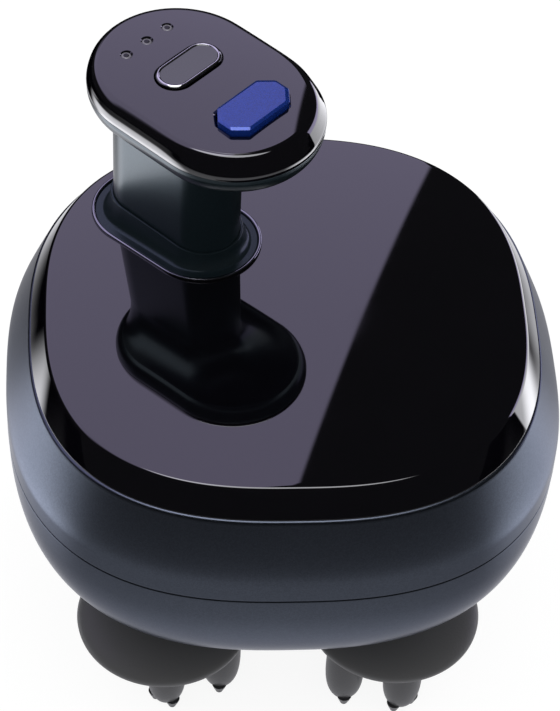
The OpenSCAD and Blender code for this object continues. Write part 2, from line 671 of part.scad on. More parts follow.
module sun_gear() color([0.88, 0.88, 0.84])
  difference() {
    union() {
      translate([0, 0, gear_z]) gear(gear_m, sun_teeth, gear_t);
      translate([0, 0, plate_z + plate_t + 0.2]) cylinder(r = 4, h = gear_z - plate_z - plate_t);
    }
    translate([0, 0, plate_z]) cylinder(d = axle_d + 2 * run, h = 30);
    // Recessed web with six lightening holes
    translate([0, 0, gear_z + gear_t - 1.5]) difference() {
      cylinder(r = gear_m * sun_teeth / 2 - 3, h = 3);
      translate([0, 0, -1]) cylinder(r = 4, h = 5);
    }
    for (a = [0:60:300]) rotate(a) translate([10, 0, gear_z - 1]) cylinder(r = 2.6, h = gear_t);
  }

module sun_axle() color([0.8, 0.8, 0.82])
  translate([0, 0, plate_z + 0.3]) {
    cylinder(d = axle_d, h = gear_z + gear_t + 1.2 - plate_z - 0.3);
    translate([0, 0, gear_z + gear_t + 0.3 - plate_z - 0.3]) cylinder(r = 3, h = 0.9);
  }

// Round plate with notches for the case bosses and holes for all it carries
module gear_plate(r, z, motor) {
  difference() {
    translate([0, 0, z]) cylinder(r = r, h = plate_t);
    at_bosses() translate([0, 0, z - 1]) cylinder(r = boss_d / 2 + 0.6, h = plate_t + 2);
    at_heads() translate([0, 0, z - 1]) cylinder(d = bush_d, h = plate_t + 2);
    at_pillars() translate([0, 0, z - 1]) cylinder(r = screw_r, h = plate_t + 2);
    at_idler() translate([0, 0, z + (motor ? -1 : 0.3)])
      cylinder(d = axle_d, h = plate_t + (motor ? 0.7 : 2));
    if (motor) at_motor() {
      translate([0, 0, z - 1]) cylinder(r = 1.6, h = plate_t + 2);
      for (x = [-1, 1]) translate([x * 8, 0, z - 1]) cylinder(r = 1, h = plate_t + 2);
    } else translate([0, 0, z + 0.3]) cylinder(d = axle_d, h = plate_t + 2);
  }
}
module lower_gear_plate() color([0.35, 0.35, 0.37]) gear_plate(plate_r, plate_z, false);
module upper_gear_plate() color([0.35, 0.35, 0.37]) gear_plate(plate_r, top_plate_z, true);

module plate_pillars() color([0.35, 0.35, 0.37])
  at_pillars() translate([0, 0, plate_z + plate_t]) ring(pillar_d / 2, screw_r, plate_space);

module gearbox_screws() color([0.7, 0.7, 0.72])
  at_pillars() {
    translate([0, 0, plate_z - 2.5]) cylinder(r = screw_r, h = motor_z - plate_z + 2.6);
    translate([0, 0, motor_z]) cylinder(r = 2.4, h = 1.5);
  }

module lower_bushings() color([0.72, 0.58, 0.32])
  at_heads() {
    translate([0, 0, plate_z]) ring(bush_d / 2, shaft_d / 2 + run, plate_t);
    translate([0, 0, plate_z + plate_t]) ring(bush_d / 2 + 1, shaft_d / 2 + run, 0.8);
  }
module upper_bushings() color([0.72, 0.58, 0.32])
  at_heads() {
    translate([0, 0, top_plate_z]) ring(bush_d / 2, shaft_d / 2 + run, plate_t);
    translate([0, 0, top_plate_z - 0.8]) ring(bush_d / 2 + 1, shaft_d / 2 + run, 0.8);
  }
module shaft_seals() color([0.10, 0.10, 0.10])
  at_heads() translate([0, 0, case_z + 1.5]) ring(6.5, shaft_d / 2 + run, 4);

// Leaf springs that bring the stimulation current to the shafts
module ems_contacts() color([0.80, 0.66, 0.35])
  at_heads() translate([0, 0, motor_z]) difference() {
    union() {
      translate([-2.5, -6.5, 0]) cube([5, 13, 0.5]);
      translate([-2.5, -6.5, 0]) cube([5, 1.6, 1.2]);
    }
    translate([0, 0, -1]) cylinder(r = 0.6, h = 3);
  }

module case_screws() color([0.7, 0.7, 0.72])
  at_bosses() {
    translate([0, 0, screw_seat - 2]) cylinder(r = head_hole - 0.2, h = 2);
    translate([0, 0, screw_seat - 0.2]) cylinder(r = screw_r, h = seam_z - screw_seat + 10);
  }

module screw_plugs() color([0.14, 0.16, 0.19])
  intersection() {
    at_bosses() translate([0, 0, case_z]) cylinder(r = head_hole, h = boss_z + plug_h - case_z);
    loft(bowl_rings([62, 54, 46, 38, 30, 22]));
  }

// ---- Massage heads ----

module head_shaft() color([0.8, 0.8, 0.82])
  translate([0, 0, skirt_z + 1.6]) cylinder(d = shaft_d, h = shaft_top - skirt_z - 1.6);

// A gap faces the central gear
module head_gear() color([0.88, 0.88, 0.84]) {
  difference() {
    union() {
      translate([0, 0, gear_z]) rotate(180 + 180 / head_teeth) gear(gear_m, head_teeth, gear_t);
      translate([0, 0, gear_z + gear_t]) cylinder(r = 4.5, h = 2.5);
    }
    translate([0, 0, gear_z - 1]) cylinder(d = shaft_d, h = gear_t + 6);
  }
}

// Umbrella over the fingers: a thin dome with a hub on the shaft
module head_skirt() color([0.19, 0.19, 0.20]) {
  r = skirt_d / 2;
  hub = 6;
  // Points of the dome, outer side then inner side
  outer = [for (u = [0, 12, 24, 36, 48, 60, 72, 84])
    [hub + (r - hub) * cos(u), skirt_z + 0.9 + (skirt_h - 1.6) * sin(u)]];
  inner = [for (u = [80, 60, 40, 20, 0])
    [hub + (r - skirt_t - hub) * cos(u), skirt_z + 0.4 + (skirt_h - 1.6 - skirt_t) * sin(u)]];
  difference() {
    rotate_extrude() polygon(concat([[r - 0.3, skirt_z]],
      outer, [[hub, hub_top], [0, hub_top], [0, skirt_z + 1.2], [hub + 1, skirt_z + 1.2]],
      inner, [[r - skirt_t + 0.2, skirt_z]]));
    translate([0, 0, skirt_z + 1.6]) cylinder(d = shaft_d, h = 20);
  }
}

// Radius of a finger of length l at the height h above its tip
function finger_at(h, l) = finger_d / 2 * pow(1 - pow(1 - h / l, finger_n), 1 / 2.3)
  * (1 - 0.14 * pow(h / l, 2));

// Four fingers that stand off centre on a round pad, each with three nubs on its tip
module head_fingers(turn) color([0.28, 0.28, 0.29]) {
  pad_z = skirt_z - 0.9;
  base = nub_d * 0.55;                 // level of the tip between the nubs
  len = skirt_z - 0.3 - base;
  translate([0, 0, pad_z]) cylinder(r = skirt_d / 2 - skirt_t - 0.7, h = 2.1);
  rotate(turn) translate([finger_off, 0, 0]) for (a = [0:90:270]) rotate(a - 17)
    translate([finger_r, 0, base]) {
      translate([len * sin(finger_lean), 0, len]) rotate([0, finger_lean, 0])
        translate([0, 0, -len]) rotate_extrude() polygon(concat([[0, 0]],
          [for (h = [0.1, 0.35, 0.8, 1.6, 3, 5, 8, len]) [finger_at(h, len), h]], [[0, len]]));
      for (b = [54:120:294]) rotate(b) translate([nub_r, 0, -base]) rotate_extrude()
        polygon([[0, 0], [nub_d * 0.25, 0.06], [nub_d * 0.43, 0.35], [nub_d / 2, 0.8],
          [nub_d / 2, base + 3], [0, base + 3]]);
    }
}

module on_head(a) rotate(a) translate([head_r, 0, 0]) children();

top_panel();
trim_ring();
upper_case();
lower_case();
case_gasket();
neck_collar();
neck_screws();
grip_post();
grip_cover();
button_board();
button_switches();
indicator_leds();
indicator_lenses();
power_button();
ems_button();
grip_harness();
main_board();
board_components();
board_screws();
battery();
battery_cradle();
charging_port();
port_cover();
gear_motor();
motor_screws();
motor_pinion();
idler_gear();
idler_axle();
sun_gear();
sun_axle();
lower_gear_plate();
upper_gear_plate();
plate_pillars();
gearbox_screws();
lower_bushings();
upper_bushings();
shaft_seals();
ems_contacts();
case_screws();
screw_plugs();
on_head(180) head_shaft();  // left_head_shaft
on_head(180) head_gear();  // left_head_gear
on_head(180) head_skirt();  // left_head_skirt
on_head(180) head_fingers(head_turn_a - 180);  // left_head_fingers
on_head(270) head_shaft();  // front_head_shaft
on_head(270) head_gear();  // front_head_gear
on_head(270) head_skirt();  // front_head_skirt
on_head(270) head_fingers(head_turn_b - 270);  // front_head_fingers
on_head(0) head_shaft();  // right_head_shaft
on_head(0) head_gear();  // right_head_gear
on_head(0) head_skirt();  // right_head_skirt
on_head(0) head_fingers(head_turn_a);  // right_head_fingers
on_head(90) head_shaft();  // rear_head_shaft
on_head(90) head_gear();  // rear_head_gear
on_head(90) head_skirt();  // rear_head_skirt
on_head(90) head_fingers(head_turn_b - 90);  // rear_head_fingers
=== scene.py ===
import bmesh
import bpy
import json
import numpy as np
from math import radians
from mathutils import Matrix


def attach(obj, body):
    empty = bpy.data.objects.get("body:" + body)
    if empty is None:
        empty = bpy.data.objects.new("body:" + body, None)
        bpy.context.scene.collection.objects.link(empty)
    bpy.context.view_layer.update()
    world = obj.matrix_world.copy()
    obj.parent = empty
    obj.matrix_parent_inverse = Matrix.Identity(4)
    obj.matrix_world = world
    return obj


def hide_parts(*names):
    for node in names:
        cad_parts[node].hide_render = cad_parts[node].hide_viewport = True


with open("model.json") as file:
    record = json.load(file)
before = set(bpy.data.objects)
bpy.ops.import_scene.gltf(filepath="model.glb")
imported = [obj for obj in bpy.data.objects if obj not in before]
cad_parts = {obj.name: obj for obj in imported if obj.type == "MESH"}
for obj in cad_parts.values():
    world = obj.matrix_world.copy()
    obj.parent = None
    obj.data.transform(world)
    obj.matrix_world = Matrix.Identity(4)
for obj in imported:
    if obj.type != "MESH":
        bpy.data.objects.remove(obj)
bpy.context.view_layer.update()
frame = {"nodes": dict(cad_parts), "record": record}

# Cordless scalp massager: a pearl case on four soft turning heads, a mirror-gloss top
# panel, and a grip with two buttons on a post. Shapes are worked out in millimetres,
# in the frame of the solids, and brought to metres where a mesh is made.

# ---- Sizes, as in the solids ----
CASE_R, PLAN_N, BOWL_D, BOWL_N = 54.9, 2.6, 40.7, 3.1
SHOULDER_H, SHOULDER_IN, WALL, GASKET = 13.7, 4.9, 2.2, 0.8
BAND_IN, CROWN_H, PANEL_T = 3.4, 2.4, 2.2
CASE_Z, SEAM_Z, WIDE_Z, SHOULDER_Z, DECK_Z, EDGE_Z = 26.5, 63.05, 67.2, 80.9, 82.1, 86.5
SHOULDER_R = CASE_R - SHOULDER_IN
EDGE_R = SHOULDER_R - BAND_IN
DOME_R = 48.4
CAP_Z, COVER_Z, RIM_Z = 130.8, 126.35, 122.0
CAP_Y, CAP_W, CAP_L, COVER_T, COVER_CROWN = 22.3, 15.35, 22.6, 2.0, 0.9
COVER_W, COVER_L, RIM_IN = CAP_W + 2, CAP_L + 2, 1.2
POST_Y, POST_W, POST_L, POST_WALL, FLARE_H = 29.5, 7.2, 14.6, 2.0, 8
FLANGE_W, FLANGE_L, TRIM_W, COLLAR_TOP, SEAT_Z = 10.9, 18.3, 0.7, 92.5, 85.5
TRAY_Z = CAP_Z - COVER_T - 4.1
POWER_L, POWER_W, POWER_Y, POWER_RISE = 15.8, 8.4, 11.9, 1.9
EMS_L, EMS_W, EMS_Y, EMS_RISE = 14.8, 7.2, 4.6, 1.3
BUTTON_GAP, BUTTON_FOOT = 0.2, CAP_Z - COVER_T - 1.2
LED_PITCH, LED_Y, LENS_D = 5.55, 15.5, 1.9
LENS_Z = CAP_Z
HEAD_R, SKIRT_R, SKIRT_Z, SKIRT_H, SKIRT_T = 33.6, 17.9, 17.2, 5.4, 1.4
FINGER_OFF, FINGER_R, FINGER_D, FINGER_N, FINGER_LEAN = 4.3, 8.3, 8.4, 4.5, 2
NUB_D, NUB_R = 1.7, 2.3
PORT_W, PORT_H, PORT_Z, FLAP_T = 9.0, 3.2, 75.7, 1.5
HEADS = {"left": (180, 306), "front": (270, 185), "right": (0, 306), "rear": (90, 185)}
TURN = np.linspace(0, 2 * np.pi, 360, endpoint=False)


# ---- Camera ----

def place_camera():
    """The camera of the photograph: 0.61 m away, looking down at 48 degrees from the front left."""
    data = bpy.data.cameras.new("camera")
    data.lens, data.sensor_width, data.clip_end = 142.37, 36, 20
    camera = bpy.data.objects.new("camera", data)
    camera.matrix_world = Matrix((
        (0.67260813, 0.53255627, -0.51379191, -0.28782),
        (-0.73906277, 0.51835689, -0.43022361, -0.24032),
        (0.03720929, 0.66909637, 0.74224357, 0.48674),
        (0, 0, 0, 1)))
    bpy.context.scene.collection.objects.link(camera)
    bpy.context.scene.camera = camera


place_camera()


# ---- Profiles and outlines, in millimetres ----

def soften(points, cut, steps=5, loop=False, by=(0, 1)):
    """A polyline whose corners are cut back by `cut` along both sides, at most to their
    middles, and bridged by a parabola that is tangent to both sides."""
    p = np.asarray(points, float)
    cut = np.broadcast_to(np.asarray(cut, float), (len(p),))
    out = []
    for i, here in enumerate(p):
        if (not loop and i in (0, len(p) - 1)) or cut[i] == 0:
            out.append(here)
            continue
        ends = []
        for other in (p[i - 1], p[(i + 1) % len(p)]):
            length = np.linalg.norm((other - here)[list(by)])
            ends.append(here + (other - here) * min(cut[i] / max(length, 1e-9), 0.5))
        for s in np.linspace(0, 1, steps):
            out.append((1 - s) ** 2 * ends[0] + 2 * s * (1 - s) * here + s ** 2 * ends[1])
    return np.array(out)


def curve_through(points, steps=6):
    """A smooth line through the points: Catmull-Rom pieces with `steps` points each."""
    p = np.asarray(points, float)
    q = np.vstack([2 * p[0] - p[1], p, 2 * p[-1] - p[-2]])
    a, b, c, d = (q[k:len(q) - 3 + k, None] for k in range(4))
    s = np.linspace(0, 1, steps, endpoint=False)[None, :, None]
    line = 0.5 * (2 * b + (c - a) * s + (2 * a - 5 * b + 4 * c - d) * s ** 2
                  + (3 * b - a - 3 * c + d) * s ** 3)
    return np.vstack([line.reshape(-1, p.shape[1]), p[-1:]])


def plan_r(turn):
    """Radius of the case's plan for a half width of 1: a superellipse of power PLAN_N whose
    rounded corners point along X and Y."""
    t = turn - np.pi / 4
    return (abs(np.cos(t)) ** PLAN_N + abs(np.sin(t)) ** PLAN_N) ** (-1 / PLAN_N)


def plan_size(x, y):
    """Half width of the superellipse that passes through a point: the inverse of plan_r."""
    return (abs((x + y) / 2 ** 0.5) ** PLAN_N + abs((y - x) / 2 ** 0.5) ** PLAN_N) ** (1 / PLAN_N)


def dome(x, y):
    """Height of the panel: a paraboloid that falls by CROWN_H over the radius DOME_R."""
    return EDGE_Z + CROWN_H * (1 - (x * x + y * y) / DOME_R ** 2)


def bowl(width, depth, u):
    """Half width and level of the bowl, u degrees below its widest level: a quarter of a
    superellipse of power BOWL_N."""
    u = np.radians(u)
    return np.stack([width * np.cos(u) ** (2 / BOWL_N), WIDE_Z - depth * np.sin(u) ** (2 / BOWL_N)], -1)


def bowl_width(z):
    """Half width of the bowl's outside at the level z."""
    return CASE_R * (1 - ((WIDE_Z - z) / BOWL_D) ** BOWL_N) ** (1 / BOWL_N)


def shoulder(share):
    """Half width and level of the shoulder: a hyperbola that leaves the widest level
    upright and then runs straight."""
    s = np.asarray(share, float)
    bend = (np.sqrt(s * s + 0.02) - 0.02 ** 0.5) / (1.02 ** 0.5 - 0.02 ** 0.5)
    return np.stack([CASE_R - SHOULDER_IN * bend, WIDE_Z + SHOULDER_H * s], -1)


def oval(w, l, arc=48, side=12):
    """Outline with half circles of radius w about (0, l - w) and (0, w - l) and straight
    sides, anticlockwise from the right."""
    t = np.linspace(0, np.pi, arc + 1)
    end = np.stack([w * np.cos(t), l - w + w * np.sin(t)], -1)
    y = np.linspace(l - w, w - l, side + 1)[1:-1]
    left = np.stack([np.full_like(y, -w), y], -1)
    return np.vstack([end, left, -end, -left])


def octagon(grow):
    """Outline of the power button grown by `grow`, with slightly rounded corners."""
    x, y, c = POWER_L / 2 + grow, POWER_W / 2 + grow, POWER_W * 0.3
    corners = [(x, c - y), (x, y - c), (x - c, y), (c - x, y),
               (-x, y - c), (-x, c - y), (c - x, -y), (x - c, -y)]
    return soften(corners, 0.35, 5, loop=True)


def capsule(grow):
    """Outline of the stimulation button grown by `grow`, with its long axis along X."""
    return oval(EMS_W / 2 + grow, EMS_L / 2 + grow, 32, 8)[:, ::-1] * [1, -1]


def lens(grow):
    """Outline of an indicator's opening grown by `grow`."""
    t = np.linspace(0, 2 * np.pi, 40, endpoint=False)
    return (LENS_D / 2 + grow) * np.stack([np.cos(t), np.sin(t)], -1)


# ---- Surfaces ----

def sweep_plan(profile):
    """The case's plan carried along a profile of half widths and levels."""
    profile = np.asarray(profile, float)
    r = profile[:, :1] * plan_r(TURN)
    return np.stack([r * np.cos(TURN), r * np.sin(TURN), profile[:, 1:] + 0 * r], -1)


def sweep_oval(rows):
    """Ovals carried along rows of half width, half length, centre y, level and tilt; a
    tilted ring falls towards the rear."""
    rings = []
    for w, l, y, z, tilt in rows:
        o = oval(w, l)
        rings.append(np.stack([o[:, 0], y + o[:, 1], z - tilt * o[:, 1]], -1))
    return np.array(rings)


def sweep_outline(outline, rows, centre):
    """An outline function carried along rows of growth and level about a centre."""
    rings = []
    for grow, z in rows:
        o = outline(grow) + centre
        rings.append(np.column_stack([o, np.full(len(o), z)]))
    return np.array(rings)


def revolve(profile, centre=(0, 0), steps=96):
    """A profile of radii and levels turned about a vertical axis."""
    t = np.linspace(0, 2 * np.pi, steps, endpoint=False)
    r, z = np.asarray(profile, float).T[:, :, None]
    return np.stack([centre[0] + r * np.cos(t), centre[1] + r * np.sin(t), z + 0 * t], -1)


def skin(rings, loop=False, ends=(True, True)):
    """Points and faces through rings that run up the outside: loop joins the last ring to
    the first, and otherwise ends close the first and last ring with a fan."""
    m, n, _ = rings.shape
    index = np.arange(m * n).reshape(m, n)
    low = index if loop else index[:-1]
    high = np.roll(index, -1, 0) if loop else index[1:]
    faces = np.stack([low, np.roll(low, -1, 1), np.roll(high, -1, 1), high], -1)
    faces = faces.reshape(-1, 4).tolist()
    points = rings.reshape(-1, 3)
    for end, ring, turn in ((0, index[0], -1), (1, index[-1], 1)):
        if loop or not ends[end]:
            continue
        centre = len(points)
        points = np.vstack([points, rings[-end].mean(0)])
        pair = np.stack([ring, np.roll(ring, -1)], -1)[:, ::turn]
        faces += [[centre, a, b] for a, b in pair.tolist()]
    return points, faces


def make_piece(name, parts, material, weld=False, sharp=38):
    """One mesh from parts of points and faces, smooth but for edges over `sharp` degrees."""
    points, faces, base = [], [], 0
    for part_points, part_faces in parts:
        points.append(part_points)
        faces += [[base + i for i in f] for f in part_faces]
        base += len(part_points)
    mesh = bpy.data.meshes.new(name)
    mesh.from_pydata((np.vstack(points) * 0.001).tolist(), [], faces)
    if weld:
        bm = bmesh.new()
        bm.from_mesh(mesh)
        bmesh.ops.remove_doubles(bm, verts=bm.verts, dist=2e-6)
        bm.to_mesh(mesh)
        bm.free()
    finish_mesh(mesh, sharp)
    mesh.materials.append(material)
    piece = bpy.data.objects.new(name, mesh)
    bpy.context.scene.collection.objects.link(piece)
    return piece


def finish_mesh(mesh, sharp):
    """Smooth shading with sharp edges over an angle in degrees."""
    mesh.validate()
    mesh.shade_smooth()
    mesh.set_sharp_from_angle(angle=radians(sharp))


def cut_away(piece, tools, sharp=38):
    """Takes closed tool pieces out of a piece, and removes them."""
    for tool in tools:
        cutter = piece.modifiers.new("cut", "BOOLEAN")
        cutter.operation, cutter.solver, cutter.object = "DIFFERENCE", "EXACT", tool
    graph = bpy.context.evaluated_depsgraph_get()
    mesh = bpy.data.meshes.new_from_object(piece.evaluated_get(graph))
    piece.modifiers.clear()
    piece.data = mesh
    finish_mesh(mesh, sharp)
    for tool in tools:
        bpy.data.objects.remove(tool)


def stand_for(piece, node, body):
    """Puts a piece in the place of a node of the frame."""
    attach(piece, body)
    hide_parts(node)


# ---- Node helpers ----

def put(tree, kind, inputs=None, **settings):
    """Adds a node; inputs are numbers, colours or the sockets that feed them."""
    node = tree.nodes.new(kind)
    for key, value in settings.items():
        setattr(node, key, value)
    for key, value in (inputs or {}).items():
        if isinstance(value, bpy.types.NodeSocket):
            tree.links.new(value, node.inputs[key])
        else:
            node.inputs[key].default_value = value
    return node


def new_group(name, inputs, outputs):
    """An empty node group with float inputs (name: value) and outputs (name: type)."""
    tree = bpy.data.node_groups.new(name, "ShaderNodeTree")
    for key, value in inputs.items():
        tree.interface.new_socket(key, in_out="INPUT", socket_type="NodeSocketFloat").default_value = value
    for key, kind in outputs.items():
        tree.interface.new_socket(key, in_out="OUTPUT", socket_type="NodeSocket" + kind)
    given = tree.nodes.new("NodeGroupInput").outputs
    result = tree.nodes.new("NodeGroupOutput").inputs
    return tree, given, result


def noise(tree, vector, scale, detail=3.0, roughness=0.5):
    return put(tree, "ShaderNodeTexNoise", {"Vector": vector, "Scale": scale, "Detail": detail,
                                            "Roughness": roughness}).outputs[0]


def spread(tree, value, low, high, to_low=0.0, to_high=1.0):
    """Maps low..high to to_low..to_high smoothly and clamps."""
    return put(tree, "ShaderNodeMapRange", {"Value": value, "From Min": low, "From Max": high,
               "To Min": to_low, "To Max": to_high}, interpolation_type="SMOOTHSTEP").outputs[0]


def times(tree, a, b, operation="MULTIPLY"):
    return put(tree, "ShaderNodeMath", {0: a, 1: b}, operation=operation).outputs[0]


def build_mould_grain():
    """Moulded plastic or rubber: a fine pebbled skin and slow shade changes."""
    tree, given, result = new_group("mould grain", {"Scale": 1500.0, "Depth": 0.1, "Shade": 0.1},
                                    {"Shade": "Float", "Normal": "Vector"})
    where = put(tree, "ShaderNodeTexCoord").outputs["Object"]
    fine = noise(tree, where, given["Scale"], 2.0)
    bump = put(tree, "ShaderNodeBump", {"Strength": given["Depth"], "Distance": 0.0001, "Height": fine})
    slow = noise(tree, where, 45.0, 4.0)
    shade = times(tree, times(tree, slow, 0.5, "SUBTRACT"), given["Shade"])
    tree.links.new(times(tree, shade, 1.0, "ADD"), result["Shade"])
    tree.links.new(bump.outputs[0], result["Normal"])
    return tree


def build_pearl():
    """Pearl lacquer: tiny flakes that lean and shine differently, under a slow drift."""
    tree, given, result = new_group("pearl flakes", {"Scale": 4200.0, "Lean": 0.1, "Spread": 0.2},
                                    {"Flake": "Float", "Normal": "Vector"})
    where = put(tree, "ShaderNodeTexCoord").outputs["Object"]
    cell = put(tree, "ShaderNodeTexVoronoi", {"Vector": where, "Scale": given["Scale"]})
    level = put(tree, "ShaderNodeSeparateColor", {"Color": cell.outputs["Color"]}).outputs[0]
    drift = noise(tree, where, 30.0, 3.0)
    flake = times(tree, times(tree, level, 0.5, "SUBTRACT"), given["Spread"])
    both = times(tree, flake, times(tree, times(tree, drift, 0.5, "SUBTRACT"), 0.25), "ADD")
    tree.links.new(times(tree, both, 1.0, "ADD"), result["Flake"])
    bump = put(tree, "ShaderNodeBump", {"Strength": given["Lean"], "Distance": 0.00005, "Height": level})
    tree.links.new(bump.outputs[0], result["Normal"])
    return tree


def build_polish():
    """Mirror gloss that has been handled: faint haze in slow clouds and hairline marks."""
    tree, given, result = new_group("polish", {"Low": 0.03, "High": 0.1, "Ripple": 0.01},
                                    {"Haze": "Float", "Normal": "Vector"})
    where = put(tree, "ShaderNodeTexCoord").outputs["Object"]
    cloud = spread(tree, noise(tree, where, 55.0, 5.0, 0.6), 0.42, 0.72)
    stretched = put(tree, "ShaderNodeMapping", {"Vector": where, "Rotation": (0, 0, 0.7),
                                                "Scale": (60.0, 2600.0, 60.0)}).outputs[0]
    lines = spread(tree, noise(tree, stretched, 1.0, 1.0), 0.66, 0.74)
    mask = put(tree, "ShaderNodeMath", {0: cloud, 1: times(tree, lines, 0.5)}, operation="MAXIMUM").outputs[0]
    span = times(tree, given["High"], given["Low"], "SUBTRACT")
    tree.links.new(times(tree, times(tree, mask, span), given["Low"], "ADD"), result["Haze"])
    wave = noise(tree, where, 35.0, 1.0)
    bump = put(tree, "ShaderNodeBump", {"Strength": given["Ripple"], "Distance": 0.001, "Height": wave})
    tree.links.new(bump.outputs[0], result["Normal"])
    return tree


def build_lathe_marks():
    """Drawn or turned metal: fine lines along one direction."""
    tree, given, result = new_group("drawn lines", {"Across": 3000.0, "Depth": 0.1, "Spread": 0.15},
                                    {"Line": "Float", "Normal": "Vector"})
    where = put(tree, "ShaderNodeTexCoord").outputs["Object"]
    scale = put(tree, "ShaderNodeCombineXYZ", {0: 120.0, 1: 120.0, 2: given["Across"]}).outputs[0]
    placed = put(tree, "ShaderNodeVectorMath", {0: where, 1: scale}, operation="MULTIPLY").outputs[0]
    line = noise(tree, placed, 1.0, 2.0)
    shade = times(tree, times(tree, line, 0.5, "SUBTRACT"), given["Spread"])
    tree.links.new(times(tree, shade, 1.0, "ADD"), result["Line"])
    bump = put(tree, "ShaderNodeBump", {"Strength": given["Depth"], "Distance": 0.0001, "Height": line})
    tree.links.new(bump.outputs[0], result["Normal"])
    return tree


MOULD, PEARL = build_mould_grain(), build_pearl()
POLISH, LINES = build_polish(), build_lathe_marks()


def new_material(name, **values):
    """A material with one Principled shader; values are its constant sockets."""
    material = bpy.data.materials.new(name)
    material.use_nodes = True
    tree = material.node_tree
    shader = tree.nodes["Principled BSDF"]
    for key, value in values.items():
        shader.inputs[key.replace("_", " ")].default_value = value
    return material, tree, shader


def effect(tree, group, **values):
    """Places a node group with its own values."""
    node = tree.nodes.new("ShaderNodeGroup")
    node.node_tree = group
    for key, value in values.items():
        node.inputs[key].default_value = value
    return node.outputs


def shaded(tree, color, factor):
    """A colour multiplied by a varying factor."""
    return put(tree, "ShaderNodeVectorMath", {0: color, 1: factor}, operation="MULTIPLY").outputs[0]


def moulded(name, color, roughness, scale, depth, shade, **values):
    """Moulded plastic or rubber with the mould-grain group."""
    material, tree, shader = new_material(name, **values)
    grain = effect(tree, MOULD, Scale=scale, Depth=depth, Shade=shade)
    tree.links.new(shaded(tree, color, grain["Shade"]), shader.inputs["Base Color"])
    tree.links.new(times(tree, grain["Shade"], roughness), shader.inputs["Roughness"])
    tree.links.new(grain["Normal"], shader.inputs["Normal"])
    return material


def pearly(name, color, roughness, spread_by, lean, **values):
    """Pearl lacquer with the flake group."""
    material, tree, shader = new_material(name, Roughness=roughness, **values)
    flakes = effect(tree, PEARL, Spread=spread_by, Lean=lean)
    tree.links.new(shaded(tree, color, flakes["Flake"]), shader.inputs["Base Color"])
    tree.links.new(flakes["Normal"], shader.inputs["Normal"])
    return material


def polished(name, color, low, high, ripple, **values):
    """Mirror gloss with the polish group."""
    material, tree, shader = new_material(name, **values)
    polish = effect(tree, POLISH, Low=low, High=high, Ripple=ripple)
    where = put(tree, "ShaderNodeTexCoord").outputs["Object"]
    tone = spread(tree, noise(tree, where, 80.0, 2.0), 0.3, 0.7, 0.93, 1.07)
    tree.links.new(shaded(tree, color, tone), shader.inputs["Base Color"])
    tree.links.new(polish["Haze"], shader.inputs["Roughness"])
    tree.links.new(polish["Normal"], shader.inputs["Normal"])
    return material


def rimmed(name, under, over, low, high, start, full, **values):
    """Mirror gloss in two tones: the colour goes from one to the other between two levels,
    in millimetres. On the lenses the lighter lower tone is a painted highlight ring."""
    material, tree, shader = new_material(name, **values)
    polish = effect(tree, POLISH, Low=low, High=high, Ripple=0.01)
    where = put(tree, "ShaderNodeTexCoord").outputs["Object"]
    level = put(tree, "ShaderNodeSeparateXYZ", {0: where}).outputs["Z"]
    mask = spread(tree, level, start * 0.001, full * 0.001)
    tone = put(tree, "ShaderNodeMix", {0: mask, 4: under, 5: over}, data_type="VECTOR").outputs[1]
    tree.links.new(tone, shader.inputs["Base Color"])
    tree.links.new(polish["Haze"], shader.inputs["Roughness"])
    tree.links.new(polish["Normal"], shader.inputs["Normal"])
    return material


def metal(name, color, roughness, across, depth, spread_by):
    """Bare metal with drawn or turned lines."""
    material, tree, shader = new_material(name, Metallic=1.0, Roughness=roughness)
    lines = effect(tree, LINES, Across=across, Depth=depth, Spread=spread_by)
    tree.links.new(shaded(tree, color, lines["Line"]), shader.inputs["Base Color"])
    tree.links.new(lines["Normal"], shader.inputs["Normal"])
    return material


